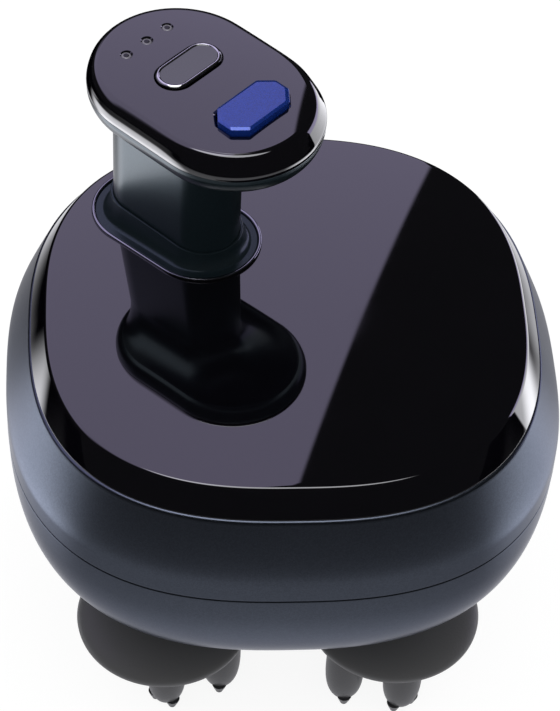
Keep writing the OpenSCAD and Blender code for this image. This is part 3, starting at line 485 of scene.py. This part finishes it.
MATERIALS = {
    "panel_gloss": polished("panel gloss", (0.0016, 0.0014, 0.0024), 0.02, 0.05, 0.002,
                            IOR=1.55, Coat_Weight=1.0, Coat_Roughness=0.012, Coat_IOR=1.7),
    "case_satin": pearly("case pearl", (0.092, 0.106, 0.134), 0.30, 0.20, 0.05,
                         Metallic=1.0, Specular_Tint=(0.5, 0.5, 0.52, 1), Coat_Weight=0.15,
                         Coat_Roughness=0.2),
    "post_satin": pearly("post pearl", (0.020, 0.034, 0.043), 0.30, 0.18, 0.05,
                         Metallic=0.7, Coat_Weight=0.3, Coat_Roughness=0.2),
    "trim_chrome": polished("trim chrome", (0.34, 0.34, 0.38), 0.06, 0.16, 0.01, Metallic=1.0),
    "power_blue": pearly("power blue", (0.010, 0.045, 0.32), 0.24, 0.30, 0.08,
                         Metallic=0.55, Coat_Weight=1.0, Coat_Roughness=0.04),
    "ems_chrome": rimmed("smoked chrome", (0.165, 0.172, 0.158), (0.72, 0.71, 0.74), 0.08, 0.18,
                         CAP_Z + EMS_RISE - 0.13, CAP_Z + EMS_RISE - 0.06, Metallic=1.0),
    # The lenses' lower edge is painted a lighter grey round a near-black top: a painted highlight ring.
    "lens_dark": rimmed("smoked lens, painted highlight ring", (0.22, 0.21, 0.25), (0.003, 0.003, 0.004), 0.04, 0.10,
                        LENS_Z + 0.16, LENS_Z + 0.19, IOR=1.5),
    "led_white": moulded("lamp white", (0.80, 0.80, 0.74), 0.45, 1800.0, 0.10, 0.10),
    "board_green": moulded("board green", (0.02, 0.13, 0.055), 0.40, 900.0, 0.25, 0.30),
    "part_black": moulded("part black", (0.018, 0.018, 0.020), 0.50, 1400.0, 0.25, 0.20),
    "silicone_skirt": moulded("skirt rubber", (0.070, 0.070, 0.073), 0.52, 2200.0, 0.30, 0.12,
                              Sheen_Weight=0.10, Sheen_Roughness=0.4),
    "silicone_finger": moulded("finger rubber", (0.034, 0.034, 0.037), 0.48, 2200.0, 0.28, 0.14,
                               Sheen_Weight=0.10, Sheen_Roughness=0.4),
    "seal_black": moulded("seal rubber", (0.016, 0.017, 0.019), 0.50, 1800.0, 0.25, 0.15),
    "steel": metal("steel", (0.60, 0.60, 0.62), 0.28, 2500.0, 0.12, 0.16),
    "brass": metal("brass", (0.72, 0.52, 0.22), 0.30, 2500.0, 0.12, 0.18),
    "gear_white": moulded("gear nylon", (0.72, 0.71, 0.66), 0.42, 1000.0, 0.12, 0.08,
                          Subsurface_Weight=0.1),
    "frame_grey": moulded("frame grey", (0.085, 0.086, 0.092), 0.48, 1200.0, 0.25, 0.12),
    "cell_blue": moulded("cell wrap", (0.04, 0.17, 0.36), 0.30, 600.0, 0.10, 0.12),
}
for entry in frame["record"]["subparts"]:
    for place in frame["nodes"][entry["node"]].material_slots:
        place.material = MATERIALS[entry["material_slot"]]


# ---- Case ----

def tool_cylinder(name, x, y, radius, low, high):
    """A closed upright cylinder that cuts."""
    rings = revolve([(radius, low), (radius, high)], (x, y), 96)
    return make_piece(name, [skin(rings)], MATERIALS["case_satin"])


def port_outline(grow):
    """Outline of the charging port's seat in the rear wall, as x and height about its centre."""
    half = (PORT_H + 4.2) / 2 + grow
    return oval(half, (PORT_W + 5.8) / 2 + grow, 24, 6)[:, ::-1] * [1, -1]


def wall_y(x, z):
    """Rear face of the case at x and height z, found by halving an interval."""
    share = (z - WIDE_Z) / SHOULDER_H
    size = shoulder(share)[..., 0]
    low, high = np.zeros_like(x), np.full_like(x, 70.0)
    for _ in range(40):
        mid = (low + high) / 2
        inside = plan_size(x, mid) < size
        low, high = np.where(inside, mid, low), np.where(inside, high, mid)
    return low


def build_lower_case():
    """The bowl: one closed shell of the outer and inner superellipse, with its lip."""
    seam = bowl_width(SEAM_Z)
    outside = bowl(CASE_R, BOWL_D, np.linspace(84, 6.2, 44))
    outside = outside[outside[:, 1] < SEAM_Z - 0.6]
    lip = soften([(seam, SEAM_Z - 0.6), (seam, SEAM_Z - 0.22), (seam - 0.22, SEAM_Z),
                  (seam - 0.7, SEAM_Z), (seam - 0.7, SEAM_Z - GASKET / 2),
                  (seam - 0.7 - GASKET, SEAM_Z - GASKET / 2), (seam - 0.7 - GASKET, SEAM_Z),
                  (seam - WALL, SEAM_Z)], [0, 0.1, 0.1, 0, 0, 0, 0, 0], 4)
    inside = bowl(CASE_R - WALL, BOWL_D - WALL, np.linspace(8, 84, 24))
    rings = sweep_plan(np.vstack([[(4, CASE_Z), (9, CASE_Z)], outside, lip, inside]))
    piece = make_piece("lower_case_shell", [skin(rings)], MATERIALS["case_satin"])
    tools = []
    for turn, _ in HEADS.values():
        x, y = HEAD_R * np.cos(radians(turn)), HEAD_R * np.sin(radians(turn))
        tools.append(tool_cylinder("bore", x, y, 8.9, CASE_Z - 3, CASE_Z + 9.9))
    for turn in (45, 135, 225, 315):
        x, y = 43 * np.cos(radians(turn)), 43 * np.sin(radians(turn))
        tools.append(tool_cylinder("screw_way", x, y, 2.6, CASE_Z - 1, CASE_Z + 19))
    cut_away(piece, tools)
    collars = []
    for turn, _ in HEADS.values():
        centre = HEAD_R * np.array([np.cos(radians(turn)), np.sin(radians(turn))])
        tube = soften([(6.5, CASE_Z + 10), (6.5, CASE_Z - 0.6), (9, CASE_Z - 0.6), (9, CASE_Z + 10)],
                      [0, 0.3, 0.3, 0], 5)
        collars.append(skin(revolve(tube, centre), loop=True))
    tubes = make_piece("shaft_collars", collars, MATERIALS["case_satin"])
    stand_for(piece, "lower_case", "case")
    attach(tubes, "case")


def build_upper_case():
    """The shoulder ring with its deck, one closed shell, with the seat of the port cut out."""
    seam = bowl_width(SEAM_Z)
    lip = SHOULDER_R - 3.2
    inner = shoulder(np.linspace(0.7, 0, 8)) - [WALL, 0]
    edge = soften([(seam - 0.7, SEAM_Z), (seam - 0.22, SEAM_Z), (seam, SEAM_Z + 0.22),
                   (seam, SEAM_Z + 0.6)], [0, 0.1, 0.1, 0], 4)
    below = bowl(CASE_R, BOWL_D, np.linspace(7.5, 1.0, 8))
    below = below[below[:, 1] > SEAM_Z + 0.7]
    wall = shoulder(np.linspace(0, 0.93, 40))
    brim = soften([wall[-1], (SHOULDER_R + 0.02, SHOULDER_Z), (lip, SHOULDER_Z), (lip, DECK_Z),
                   (6, DECK_Z)], [0, 0.75, 0, 0, 0], 7)[1:]
    profile = np.vstack([[(4, DECK_Z - 2), (lip - 2, DECK_Z - 2), (SHOULDER_R - WALL - 0.3, DECK_Z - 3.5)],
                         inner, [(seam - WALL, SEAM_Z), (seam - 0.7 - GASKET, SEAM_Z),
                                 (seam - 0.7 - GASKET, SEAM_Z + GASKET / 2),
                                 (seam - 0.7, SEAM_Z + GASKET / 2)],
                         edge, below, wall, brim])
    piece = make_piece("upper_case_shell", [skin(sweep_plan(profile))], MATERIALS["case_satin"])
    seat = port_outline(0.1)
    rings = [np.column_stack([seat[:, 0], np.full(len(seat), y), PORT_Z + seat[:, 1]])
             for y in (70.0, wall_y(np.zeros(1), np.full(1, PORT_Z))[0] - FLAP_T)]
    hole = oval(PORT_H / 2 + 0.1, PORT_W / 2 + 0.1, 24, 6)[:, ::-1] * [1, -1]
    through = [np.column_stack([hole[:, 0], np.full(len(hole), y), PORT_Z + hole[:, 1]])
               for y in (70.0, 46.0)]
    cut_away(piece, [make_piece("seat", [skin(np.array(rings))], MATERIALS["case_satin"]),
                     make_piece("way", [skin(np.array(through))], MATERIALS["case_satin"])])
    stand_for(piece, "upper_case", "case")


def build_port_cover():
    """Rubber flap: the port's outline drawn in and out on the wall, with a small rim, a
    thumb notch line and the plug behind it."""
    rings = []
    for grow, out in ((-0.25, -FLAP_T + 0.05), (0.0, -FLAP_T + 0.3), (0.02, -0.35), (-0.1, -0.05),
                      (-0.35, 0.05), (-1.0, 0.05), (-1.2, -0.1), (-1.4, 0.05), (-2.2, 0.06), (-3.0, 0.06)):
        o = port_outline(grow)
        y = wall_y(o[:, 0], PORT_Z + o[:, 1]) + out
        rings.append(np.column_stack([o[:, 0], y, PORT_Z + o[:, 1]])[::-1])
    plug = oval((PORT_H - 0.9) / 2, (PORT_W - 0.9) / 2, 24, 6)[:, ::-1] * [1, -1]
    face = wall_y(np.zeros(1), np.full(1, PORT_Z))[0] - FLAP_T
    stem = np.array([np.column_stack([plug[:, 0], np.full(len(plug), y), PORT_Z + plug[:, 1]])[::-1]
                     for y in (face - 4, face + 0.3)])
    piece = make_piece("port_flap", [skin(np.array(rings)), skin(stem)], MATERIALS["seal_black"])
    stand_for(piece, "port_cover", "case")


# ---- Top panel, trim and collar ----

def trim_level():
    """Level of the panel at the post and its fall to the rear there."""
    return dome(0, POST_Y), 2 * CROWN_H * POST_Y / DOME_R ** 2


def build_top_panel():
    """The dome is a grid between the oval opening and the plan's edge, seen from the
    opening's centre; its height is dome(x, y). The side band and the underside go on from it."""
    t = np.linspace(0, 2 * np.pi, 560, endpoint=False)
    c, s = np.cos(t), np.sin(t)
    w, l = FLANGE_W + TRIM_W, FLANGE_L + TRIM_W
    side = w / np.maximum(abs(c), 1e-9)
    ends = (l - w) * abs(s) + np.sqrt(np.maximum(w ** 2 - ((l - w) * c) ** 2, 0))
    near = np.where(side * abs(s) <= l - w, side, ends)

    def reach(size):
        """Distance to the plan of this half width along each direction, by halving."""
        low, high = near.copy(), np.full_like(t, 130.0)
        for _ in range(44):
            mid = (low + high) / 2
            inside = plan_size(mid * c, POST_Y + mid * s) < size
            low, high = np.where(inside, mid, low), np.where(inside, high, mid)
        return low

    far = reach(EDGE_R - 0.75)
    turn = np.arctan2(POST_Y + far * s, far * c)
    corner = plan_r(turn)

    top_edge = EDGE_Z + 0.075
    rise = dome(far * c, POST_Y + far * s) - top_edge

    def band(size, z):
        """A ring of the side band; its level follows the dome's edge in proportion."""
        r = size * corner
        share = np.clip((z - SHOULDER_Z) / (top_edge - SHOULDER_Z), 0, 1)
        return np.stack([r * np.cos(turn), r * np.sin(turn), z + share * rise], -1)

    out = soften([(SHOULDER_R - 0.45, SHOULDER_Z), (SHOULDER_R - 0.3, SHOULDER_Z + 0.12),
                  (EDGE_R + 0.16, top_edge - 0.1), (EDGE_R - 0.75, top_edge)], [0, 0.15, 0.85, 0], 9)
    rings = [band(a, z) for a, z in out[:-1]]
    for u in 1 - np.linspace(0, 1, 90):
        r = near + (far - near) * u
        x, y = r * c, POST_Y + r * s
        rings.append(np.stack([x, y, dome(x, y)], -1))
    hole_x, hole_y = near * c, POST_Y + near * s
    rings.append(np.stack([hole_x, hole_y, dome(hole_x, hole_y) - 0.25], -1))
    for u in np.linspace(0, 0.93, 6):
        r = near + (far - near) * u
        x, y = r * c, POST_Y + r * s
        rings.append(np.stack([x, y, dome(x, y) - PANEL_T], -1))
    lip = SHOULDER_R - 3.15
    rings += [band(lip, DECK_Z + 0.1) * [1, 1, 0] + [0, 0, DECK_Z + 0.1], band(lip, SHOULDER_Z)]
    piece = make_piece("top_panel_skin", [skin(np.array(rings), loop=True)],
                       MATERIALS["panel_gloss"], sharp=50)
    stand_for(piece, "top_panel", "case")


def build_trim_ring():
    """The bright ring in the panel's opening, with a rounded top."""
    level, fall = trim_level()
    wo, lo, wi, li = FLANGE_W + TRIM_W - 0.02, FLANGE_L + TRIM_W - 0.02, FLANGE_W, FLANGE_L
    rows = soften([(wo, lo, POST_Y, level - 1.6, fall), (wo, lo, POST_Y, level + 0.35, fall),
                   (wi, li, POST_Y, level + 0.35, fall), (wi, li, POST_Y, level - 1.6, fall)],
                  [0, 0.34, 0.34, 0], 8, by=(0, 3))
    piece = make_piece("trim_ring_band", [skin(sweep_oval(rows), loop=True)], MATERIALS["trim_chrome"])
    stand_for(piece, "trim_ring", "case")


def build_neck_collar():
    """Flange, concave fillet of a quarter of an ellipse, and the neck that holds the post."""
    level, fall = trim_level()
    flat = level - 0.05
    fillet = FLANGE_W - 1.3 - POST_W - 0.6
    u = np.radians(np.linspace(6, 90, 22))
    curve = [(FLANGE_W - 1.3 - e, FLANGE_L - 1.3 - e, POST_Y, flat + h, fall * k) for e, h, k in zip(
        fillet * np.sin(u), (COLLAR_TOP - 0.5 - flat) * (1 - np.cos(u)), np.cos(u))]
    start = soften([(FLANGE_W, FLANGE_L, POST_Y, DECK_Z, 0), (FLANGE_W, FLANGE_L, POST_Y, flat, fall),
                    (FLANGE_W - 1.3, FLANGE_L - 1.3, POST_Y, flat, fall)], [0, 0.3, 0], 6, by=(0, 3))
    neck = soften([curve[-1], (POST_W + 0.6, POST_L + 0.6, POST_Y, COLLAR_TOP, 0),
                   (POST_W + 0.05, POST_L + 0.05, POST_Y, COLLAR_TOP, 0),
                   (POST_W + 0.05, POST_L + 0.05, POST_Y, SEAT_Z, 0),
                   (POST_W - POST_WALL, POST_L - POST_WALL, POST_Y, SEAT_Z, 0),
                   (POST_W - POST_WALL, POST_L - POST_WALL, POST_Y, DECK_Z, 0)],
                  [0, 0.3, 0.12, 0, 0, 0], 6, by=(0, 3))
    rows = np.vstack([start, curve[:-1], neck])
    piece = make_piece("neck_collar_skin", [skin(sweep_oval(rows), loop=True)], MATERIALS["post_satin"])
    stand_for(piece, "neck_collar", "case")


# ---- Grip ----

def build_grip_post():
    """Post, flare of a quarter of an ellipse, and the rounded rim under the cover."""
    wr, lr = COVER_W - RIM_IN, COVER_L - RIM_IN
    wt, lt = COVER_W - COVER_T - 0.7, COVER_L - COVER_T - 0.7
    u = np.radians(np.linspace(2, 90, 26))
    g, h = 1 - np.cos(u), np.sin(u)
    flare = np.stack([POST_W + (wr - 0.8 - POST_W) * g, POST_L + (lr - 0.8 - POST_L) * g,
                      POST_Y + (CAP_Y - POST_Y) * g, RIM_Z - FLARE_H + FLARE_H * h, 0 * u], -1)
    rim = curve_through([(wr - 0.8, lr - 0.8, CAP_Y, RIM_Z, 0), (wr, lr, CAP_Y, RIM_Z + 0.7, 0),
                         (COVER_W - 0.55, COVER_L - 0.55, CAP_Y, RIM_Z + 1.74, 0),
                         (COVER_W - 0.1, COVER_L - 0.1, CAP_Y, RIM_Z + 3.13, 0),
                         (COVER_W - 0.05, COVER_L - 0.05, CAP_Y, COVER_Z - 0.4, 0)], 7)
    ledge = soften([rim[-1], (COVER_W - 0.05, COVER_L - 0.05, CAP_Y, COVER_Z - 0.02, 0),
                    (wt, lt, CAP_Y, COVER_Z - 0.02, 0), (wt, lt, CAP_Y, TRAY_Z, 0),
                    (POST_W - POST_WALL, POST_L - POST_WALL, POST_Y, TRAY_Z, 0),
                    (POST_W - POST_WALL, POST_L - POST_WALL, POST_Y, SEAT_Z, 0)],
                   [0, 0.25, 0, 0, 0, 0], 5, by=(0, 3))
    base = [(POST_W, POST_L, POST_Y, z, 0) for z in np.linspace(SEAT_Z, RIM_Z - FLARE_H, 8)]
    rows = np.vstack([base, flare, rim[1:-1], ledge])
    piece = make_piece("grip_post_skin", [skin(sweep_oval(rows), loop=True)],
                       MATERIALS["post_satin"], sharp=50)
    stand_for(piece, "grip_post", "case")


def cover_rise(x, y):
    """How far the grip's domed face stands over its nominal level: a paraboloid that falls
    by COVER_CROWN from its middle to the cover's edge."""
    return 0.8 - COVER_CROWN * ((x / COVER_W) ** 2 + ((y - CAP_Y) / COVER_L) ** 2)


def build_grip_cover():
    """Gloss cover: two smooth lines carried round an oval, an upright one along the sides
    and a slanted one at the front end, blended by the distance from the middle, with a domed
    face of shrinking ovals. The openings of both buttons and the lights are cut with flared
    tools, which leave a small chamfer round each."""
    step = CAP_L - CAP_W
    upright = [(0, 0), (0.02, 0.8), (-0.12, 1.7), (-0.3, 2.4),
               (-0.5, 3.0), (-0.93, 3.7), (-1.5, 4.25), (-2.1, 4.45)]
    slanted = [(0, 0), (0, 0.7), (-0.12, 1.25), (-0.58, 2.1),
               (-1.1, 3.0), (-1.58, 3.75), (-2.15, 4.28), (-2.9, 4.45)]
    inner = [(CAP_W - 1.2, CAP_Z - COVER_T), (COVER_W - COVER_T, CAP_Z - COVER_T - 1),
             (COVER_W - COVER_T, COVER_Z)]
    forms = []
    for line in (upright, slanted):
        side = curve_through(np.array(line) + [COVER_W, COVER_Z], 9)
        side[:, 1] = np.minimum(side[:, 1], CAP_Z)
        face = np.column_stack([np.linspace(side[-1, 0] - 0.4, 0, 44), np.full(44, CAP_Z)])
        forms.append(sweep_oval([(w, w + step, CAP_Y, z, 0) for w, z in np.vstack([inner, side, face])]))
    back = oval(COVER_W, COVER_L)[:, 1]
    blend = np.clip((-back - 4) / 12, 0, 1)
    blend = (blend * blend * (3 - 2 * blend))[None, :, None]
    rings = forms[0] * (1 - blend) + forms[1] * blend
    share = np.clip((rings[..., 2] - COVER_Z) / (CAP_Z - COVER_Z), 0, 1) ** 2
    share[:len(inner)] = 0
    rings[..., 2] += share * cover_rise(rings[..., 0], rings[..., 1])
    piece = make_piece("grip_cover_skin", [skin(rings, ends=(True, False))],
                       MATERIALS["panel_gloss"], weld=True)
    holes = [(octagon, BUTTON_GAP, 0, CAP_Y - POWER_Y), (capsule, BUTTON_GAP, 0, CAP_Y + EMS_Y)]
    holes += [(lens, 0.0, x * LED_PITCH, CAP_Y + LED_Y) for x in (-1, 0, 1)]
    tools = []
    for outline, gap, x, y in holes:
        level = CAP_Z + cover_rise(x, y)
        rows = [(gap, CAP_Z - COVER_T - 1), (gap, level - 0.28),
                (gap + 0.28, level), (gap + 1.0, level + 0.72)]
        tools.append(make_piece("opening", [skin(sweep_outline(outline, rows, (x, y)))],
                                MATERIALS["panel_gloss"]))
    cut_away(piece, tools, sharp=30)
    stand_for(piece, "grip_cover", "case")


def build_power_button():
    """Eight-sided button with a bright bevel round its raised face."""
    top = CAP_Z + POWER_RISE
    rows = soften([(0.9, BUTTON_FOOT), (0.9, BUTTON_FOOT + 1.1), (0, BUTTON_FOOT + 1.1),
                   (0, top - 0.26), (-0.52, top), (-1.3, top)], [0, 0, 0, 0.08, 0.08, 0], 5)
    rings = sweep_outline(octagon, rows, (0, CAP_Y - POWER_Y))
    piece = make_piece("power_button_cap", [skin(rings)], MATERIALS["power_blue"], sharp=30)
    stand_for(piece, "power_button", "power_button")


def build_ems_button():
    """Round-ended button: a polished bevel and rim round a slightly sunk face."""
    top = CAP_Z + EMS_RISE
    rows = soften([(0.9, BUTTON_FOOT), (0.9, BUTTON_FOOT + 1.1), (0, BUTTON_FOOT + 1.1),
                   (0, top - 0.24), (-0.44, top), (-0.62, top - 0.03), (-0.8, top - 0.18), (-1.4, top - 0.2)],
                  [0, 0, 0, 0.1, 0.1, 0.05, 0.08, 0], 6)
    rings = sweep_outline(capsule, rows, (0, CAP_Y + EMS_Y))
    piece = make_piece("ems_button_cap", [skin(rings)], MATERIALS["ems_chrome"], sharp=40)
    stand_for(piece, "ems_button", "ems_button")


def build_lenses():
    """Smoked lenses, each a small dome just under the cover's face."""
    parts = []
    low = TRAY_Z + 1.9
    for x in (-1, 0, 1):
        r = LENS_D / 2 - 0.01
        u = np.radians(np.linspace(0, 88, 9))
        bulge = [(r * np.cos(a), LENS_Z + 0.22 * np.sin(a)) for a in u]
        parts.append(skin(revolve([(r, low)] + bulge, (x * LED_PITCH, CAP_Y + LED_Y), 40)))
    piece = make_piece("indicator_domes", parts, MATERIALS["lens_dark"])
    stand_for(piece, "indicator_lenses", "case")


# ---- Massage heads ----

def build_skirt(side, centre):
    """Umbrella over the fingers: a dome of a quarter of an ellipse with a rounded lower rim."""
    hub = 6
    u = np.radians(np.linspace(0, 86, 30))
    outer = np.stack([hub + (SKIRT_R - hub) * np.cos(u), SKIRT_Z + 0.9 + (SKIRT_H - 1.6) * np.sin(u)], -1)
    v = np.radians(np.linspace(84, 0, 18))
    inner = np.stack([hub + (SKIRT_R - SKIRT_T - hub) * np.cos(v),
                      SKIRT_Z + 0.4 + (SKIRT_H - 1.6 - SKIRT_T) * np.sin(v)], -1)
    rim = soften([inner[-1], (SKIRT_R - SKIRT_T + 0.15, SKIRT_Z), (SKIRT_R - 0.1, SKIRT_Z), outer[0]],
                 [0, 0.3, 0.5, 0], 6)
    profile = np.vstack([[(1, SKIRT_Z + 1.2), (hub + 1, SKIRT_Z + 1.2)], inner[:-1], rim, outer[1:],
                         [(hub, SKIRT_Z + SKIRT_H - 0.2), (hub - 0.2, SKIRT_Z + SKIRT_H),
                          (2.6, SKIRT_Z + SKIRT_H)]])
    piece = make_piece(side + "_skirt", [skin(revolve(profile, centre, 128))],
                       MATERIALS["silicone_skirt"], sharp=60)
    stand_for(piece, side + "_head_skirt", side + "_head")


def turned(points, angle, shift):
    """Points turned about Z by an angle in degrees and then moved in plan."""
    c, s = np.cos(radians(angle)), np.sin(radians(angle))
    x, y = points[:, 0] * c - points[:, 1] * s, points[:, 0] * s + points[:, 1] * c
    return np.column_stack([x + shift[0], y + shift[1], points[:, 2]])


def finger_shapes():
    """One finger with its tip on the Z axis: radius (D/2) (1 - (1 - h/L)^n)^(1/2.3) at the
    height h, narrowed by 14% of (h/L)^2, leaning out as it rises, and three nubs."""
    base = NUB_D * 0.3
    length = SKIRT_Z - 0.3 - base
    h = length * np.linspace(0.004, 1, 46) ** 1.7
    r = FINGER_D / 2 * (1 - (1 - h / length) ** FINGER_N) ** (1 / 2.3) * (1 - 0.14 * (h / length) ** 2)
    r = r + 0.4 * np.clip((h - length + 1.0) / 1.0, 0, 1) ** 2
    body = revolve(np.stack([r, h], -1), (0, 0), 56)
    lean = radians(FINGER_LEAN)
    x, z = body[..., 0].copy(), body[..., 2] - length
    body[..., 0] = length * np.sin(lean) + x * np.cos(lean) + z * np.sin(lean)
    body[..., 2] = base + length + z * np.cos(lean) - x * np.sin(lean)
    shapes = [skin(body)]
    a = np.radians(np.linspace(8, 90, 8))
    nub = [(NUB_D / 2 * np.sin(k), 0.8 * (1 - np.cos(k))) for k in a]
    nub += [(NUB_D / 2 + 0.4, base + 1.2), (NUB_D / 2 + 0.7, base + 2.2)]
    for turn in (54, 174, 294):
        centre = NUB_R * np.array([np.cos(radians(turn)), np.sin(radians(turn))])
        shapes.append(skin(revolve(nub, centre, 24)))
    return shapes


def build_fingers(side, centre, turn):
    """Round pad with four fingers that stand off its centre."""
    pad_r = SKIRT_R - SKIRT_T - 0.7
    pad = soften([(1, SKIRT_Z - 0.9), (pad_r, SKIRT_Z - 0.9), (pad_r, SKIRT_Z + 1.2), (1, SKIRT_Z + 1.2)],
                 [0, 0.4, 0, 0], 6)
    parts = [skin(revolve(pad, centre, 96))]
    middle = np.array(centre) + FINGER_OFF * np.array([np.cos(radians(turn)), np.sin(radians(turn))])
    for quarter in range(4):
        angle = turn + 90 * quarter - 17
        foot = middle + FINGER_R * np.array([np.cos(radians(angle)), np.sin(radians(angle))])
        parts += [(turned(points, angle, foot), faces) for points, faces in finger_shapes()]
    piece = make_piece(side + "_fingers", parts, MATERIALS["silicone_finger"], sharp=60)
    stand_for(piece, side + "_head_fingers", side + "_head")


build_lower_case()
build_upper_case()
build_port_cover()
build_top_panel()
build_trim_ring()
build_neck_collar()
build_grip_post()
build_grip_cover()
build_power_button()
build_ems_button()
build_lenses()
for name, (place, turn) in HEADS.items():
    axis = HEAD_R * np.array([np.cos(radians(place)), np.sin(radians(place))])
    build_skirt(name, axis)
    build_fingers(name, axis, turn)


# ---- Floor and light ----

def window(tree, way, turn, inner, outer):
    """1 within `inner` degrees of the compass direction `turn`, 0 beyond `outer`."""
    flat = put(tree, "ShaderNodeVectorMath", {0: way, 1: (1, 1, 0)}, operation="MULTIPLY").outputs[0]
    unit = put(tree, "ShaderNodeVectorMath", {0: flat}, operation="NORMALIZE").outputs[0]
    aim = (np.cos(radians(turn)), np.sin(radians(turn)), 0)
    toward = put(tree, "ShaderNodeVectorMath", {0: unit, 1: aim}, operation="DOT_PRODUCT").outputs["Value"]
    return spread(tree, toward, np.cos(radians(outer)), np.cos(radians(inner)))


def facing(tree, way):
    """How far a level direction points to the front left corner of the case, from -1 to 1."""
    flat = put(tree, "ShaderNodeVectorMath", {0: way, 1: (1, 1, 0)}, operation="MULTIPLY").outputs[0]
    unit = put(tree, "ShaderNodeVectorMath", {0: flat}, operation="NORMALIZE").outputs[0]
    return put(tree, "ShaderNodeVectorMath", {0: unit, 1: (-0.767, -0.642, 0)},
               operation="DOT_PRODUCT").outputs["Value"]


def painted_table_light(tree):
    """Painted light on the table, seen only in mirrors: a painted glow, white close to the object,
    a painted grey shade in front of it, a painted brighter glow behind it, and painted pools of
    light at each side in place of light from soft cards."""
    where = put(tree, "ShaderNodeTexCoord").outputs["Object"]
    reach = put(tree, "ShaderNodeVectorMath", {0: where}, operation="LENGTH").outputs["Value"]
    # Painted shade: in mirrors the table is grey in front of the object, towards the camera, and brighter
    # behind it.
    front = spread(tree, facing(tree, where), -0.25, 0.45)
    behind = times(tree, 1.0, front, "SUBTRACT")
    ring = times(tree, spread(tree, reach, 0.07, 0.15), spread(tree, reach, 0.26, 0.36, 1.0, 0.0))
    total = times(tree, spread(tree, reach, 0.055, 0.10, 1.0, 0.0), 0.7)
    painted_front_shade = times(tree, spread(tree, reach, 0.20, 0.50, 0.46, 0.14), spread(tree, reach, 0.5, 0.9, 1.0, 0.0))
    total = times(tree, times(tree, front, painted_front_shade), total, "ADD")
    painted_rear_glow = spread(tree, reach, 0.14, 0.21, 0.8, 0.0)
    total = times(tree, times(tree, behind, painted_rear_glow), total, "ADD")
    # Painted pools of light on the table at each side, up to 3.3 times white, in place of side cards.
    for turn, inner, outer, strength in ((131, 2, 33, 3.3), (-46, 2, 33, 2.5)):
        painted_light_pool = times(tree, window(tree, where, turn, inner, outer), ring)
        total = times(tree, times(tree, painted_light_pool, strength), total, "ADD")
    # A painted strip of light on the table below the card that stands behind on the right.
    standing = times(tree, window(tree, where, -10, 25.5, 26.5), spread(tree, reach, 0.19, 0.25))
    return times(tree, times(tree, standing, 1.9), total, "ADD")


def build_floor():
    """A white table: it shows white and keeps a faint shadow; in mirrors it glows with painted light and
    painted shade.
    """
    bpy.ops.mesh.primitive_plane_add(size=8, location=(0, 0, -0.00002))
    floor = bpy.context.object
    floor.name = "floor"
    material = bpy.data.materials.new("table white, painted light in mirrors")
    material.use_nodes = True
    tree = material.node_tree
    tree.nodes.clear()
    path = put(tree, "ShaderNodeLightPath")
    plain = put(tree, "ShaderNodeBsdfDiffuse", {"Color": (0.8, 0.8, 0.8, 1)})
    lit = put(tree, "ShaderNodeBsdfDiffuse", {"Color": (0.15, 0.15, 0.15, 1)})
    glow = put(tree, "ShaderNodeEmission", {"Color": (1, 1, 1, 1), "Strength": 0.90})
    seen = put(tree, "ShaderNodeAddShader", {0: lit.outputs[0], 1: glow.outputs[0]})
    # In mirrors the table glows with painted light and painted shade; no lamp lights it there.
    mirror = put(tree, "ShaderNodeEmission", {"Color": (0.95, 0.95, 1.0, 1), "Strength": painted_table_light(tree)})
    first = put(tree, "ShaderNodeMixShader", {0: path.outputs["Is Camera Ray"], 1: plain.outputs[0],
                                              2: seen.outputs[0]})
    last = put(tree, "ShaderNodeMixShader", {0: path.outputs["Is Glossy Ray"], 1: first.outputs[0],
                                             2: mirror.outputs[0]})
    put(tree, "ShaderNodeOutputMaterial", {"Surface": last.outputs[0]})
    floor.data.materials.append(material)


def build_world():
    """A soft studio: white behind the object; in mirrors, a ceiling card with a straight
    edge, a card that stands behind on the right, a small lamp overhead, and a dark room."""
    world = bpy.data.worlds.new("studio")
    bpy.context.scene.world = world
    world.use_nodes = True
    tree = world.node_tree
    tree.nodes.clear()
    way = put(tree, "ShaderNodeTexCoord").outputs["Generated"]

    def along(x, y, z):
        return put(tree, "ShaderNodeVectorMath", {0: way, 1: (x, y, z)},
                   operation="DOT_PRODUCT").outputs["Value"]

    height = along(0, 0, 1)
    ceiling = times(tree, spread(tree, along(-0.4738, 0.8767, -0.0835), -0.0025, 0.0025),
                    spread(tree, height, 0.30, 0.5))
    ceiling = times(tree, ceiling, spread(tree, along(-0.767, -0.642, 0), -0.05, 0.28, 1.0, 0.0))
    standing = times(tree, window(tree, way, -10, 25.5, 26.5), spread(tree, height, 0.30, 0.22))
    overhead = times(tree, spread(tree, height, 0.94, 0.96), 3.2)
    path = put(tree, "ShaderNodeLightPath")
    cards = times(tree, times(tree, ceiling, 0.95), times(tree, standing, 1.9), "ADD")
    card = put(tree, "ShaderNodeBackground", {"Color": (0.74, 0.67, 1.0, 1), "Strength": cards})
    panes = put(tree, "ShaderNodeBackground", {"Color": (0.95, 0.95, 1.0, 1),
                                               "Strength": times(tree, overhead, 0.02, "ADD")})
    room = put(tree, "ShaderNodeAddShader", {0: card.outputs[0], 1: panes.outputs[0]})
    soft = spread(tree, height, -0.2, 0.9, 0.65, 1.0)
    light = put(tree, "ShaderNodeBackground", {"Color": (1, 1, 1, 1), "Strength": soft})
    white = put(tree, "ShaderNodeBackground", {"Color": (1, 1, 1, 1), "Strength": 1.0})
    unseen = put(tree, "ShaderNodeMixShader", {0: path.outputs["Is Glossy Ray"], 1: light.outputs[0],
                                               2: room.outputs[0]})
    whole = put(tree, "ShaderNodeMixShader", {0: path.outputs["Is Camera Ray"], 1: unseen.outputs[0],
                                              2: white.outputs[0]})
    put(tree, "ShaderNodeOutputWorld", {"Surface": whole.outputs[0]})


build_floor()
build_world()
bpy.context.scene.view_settings.view_transform = "Standard"
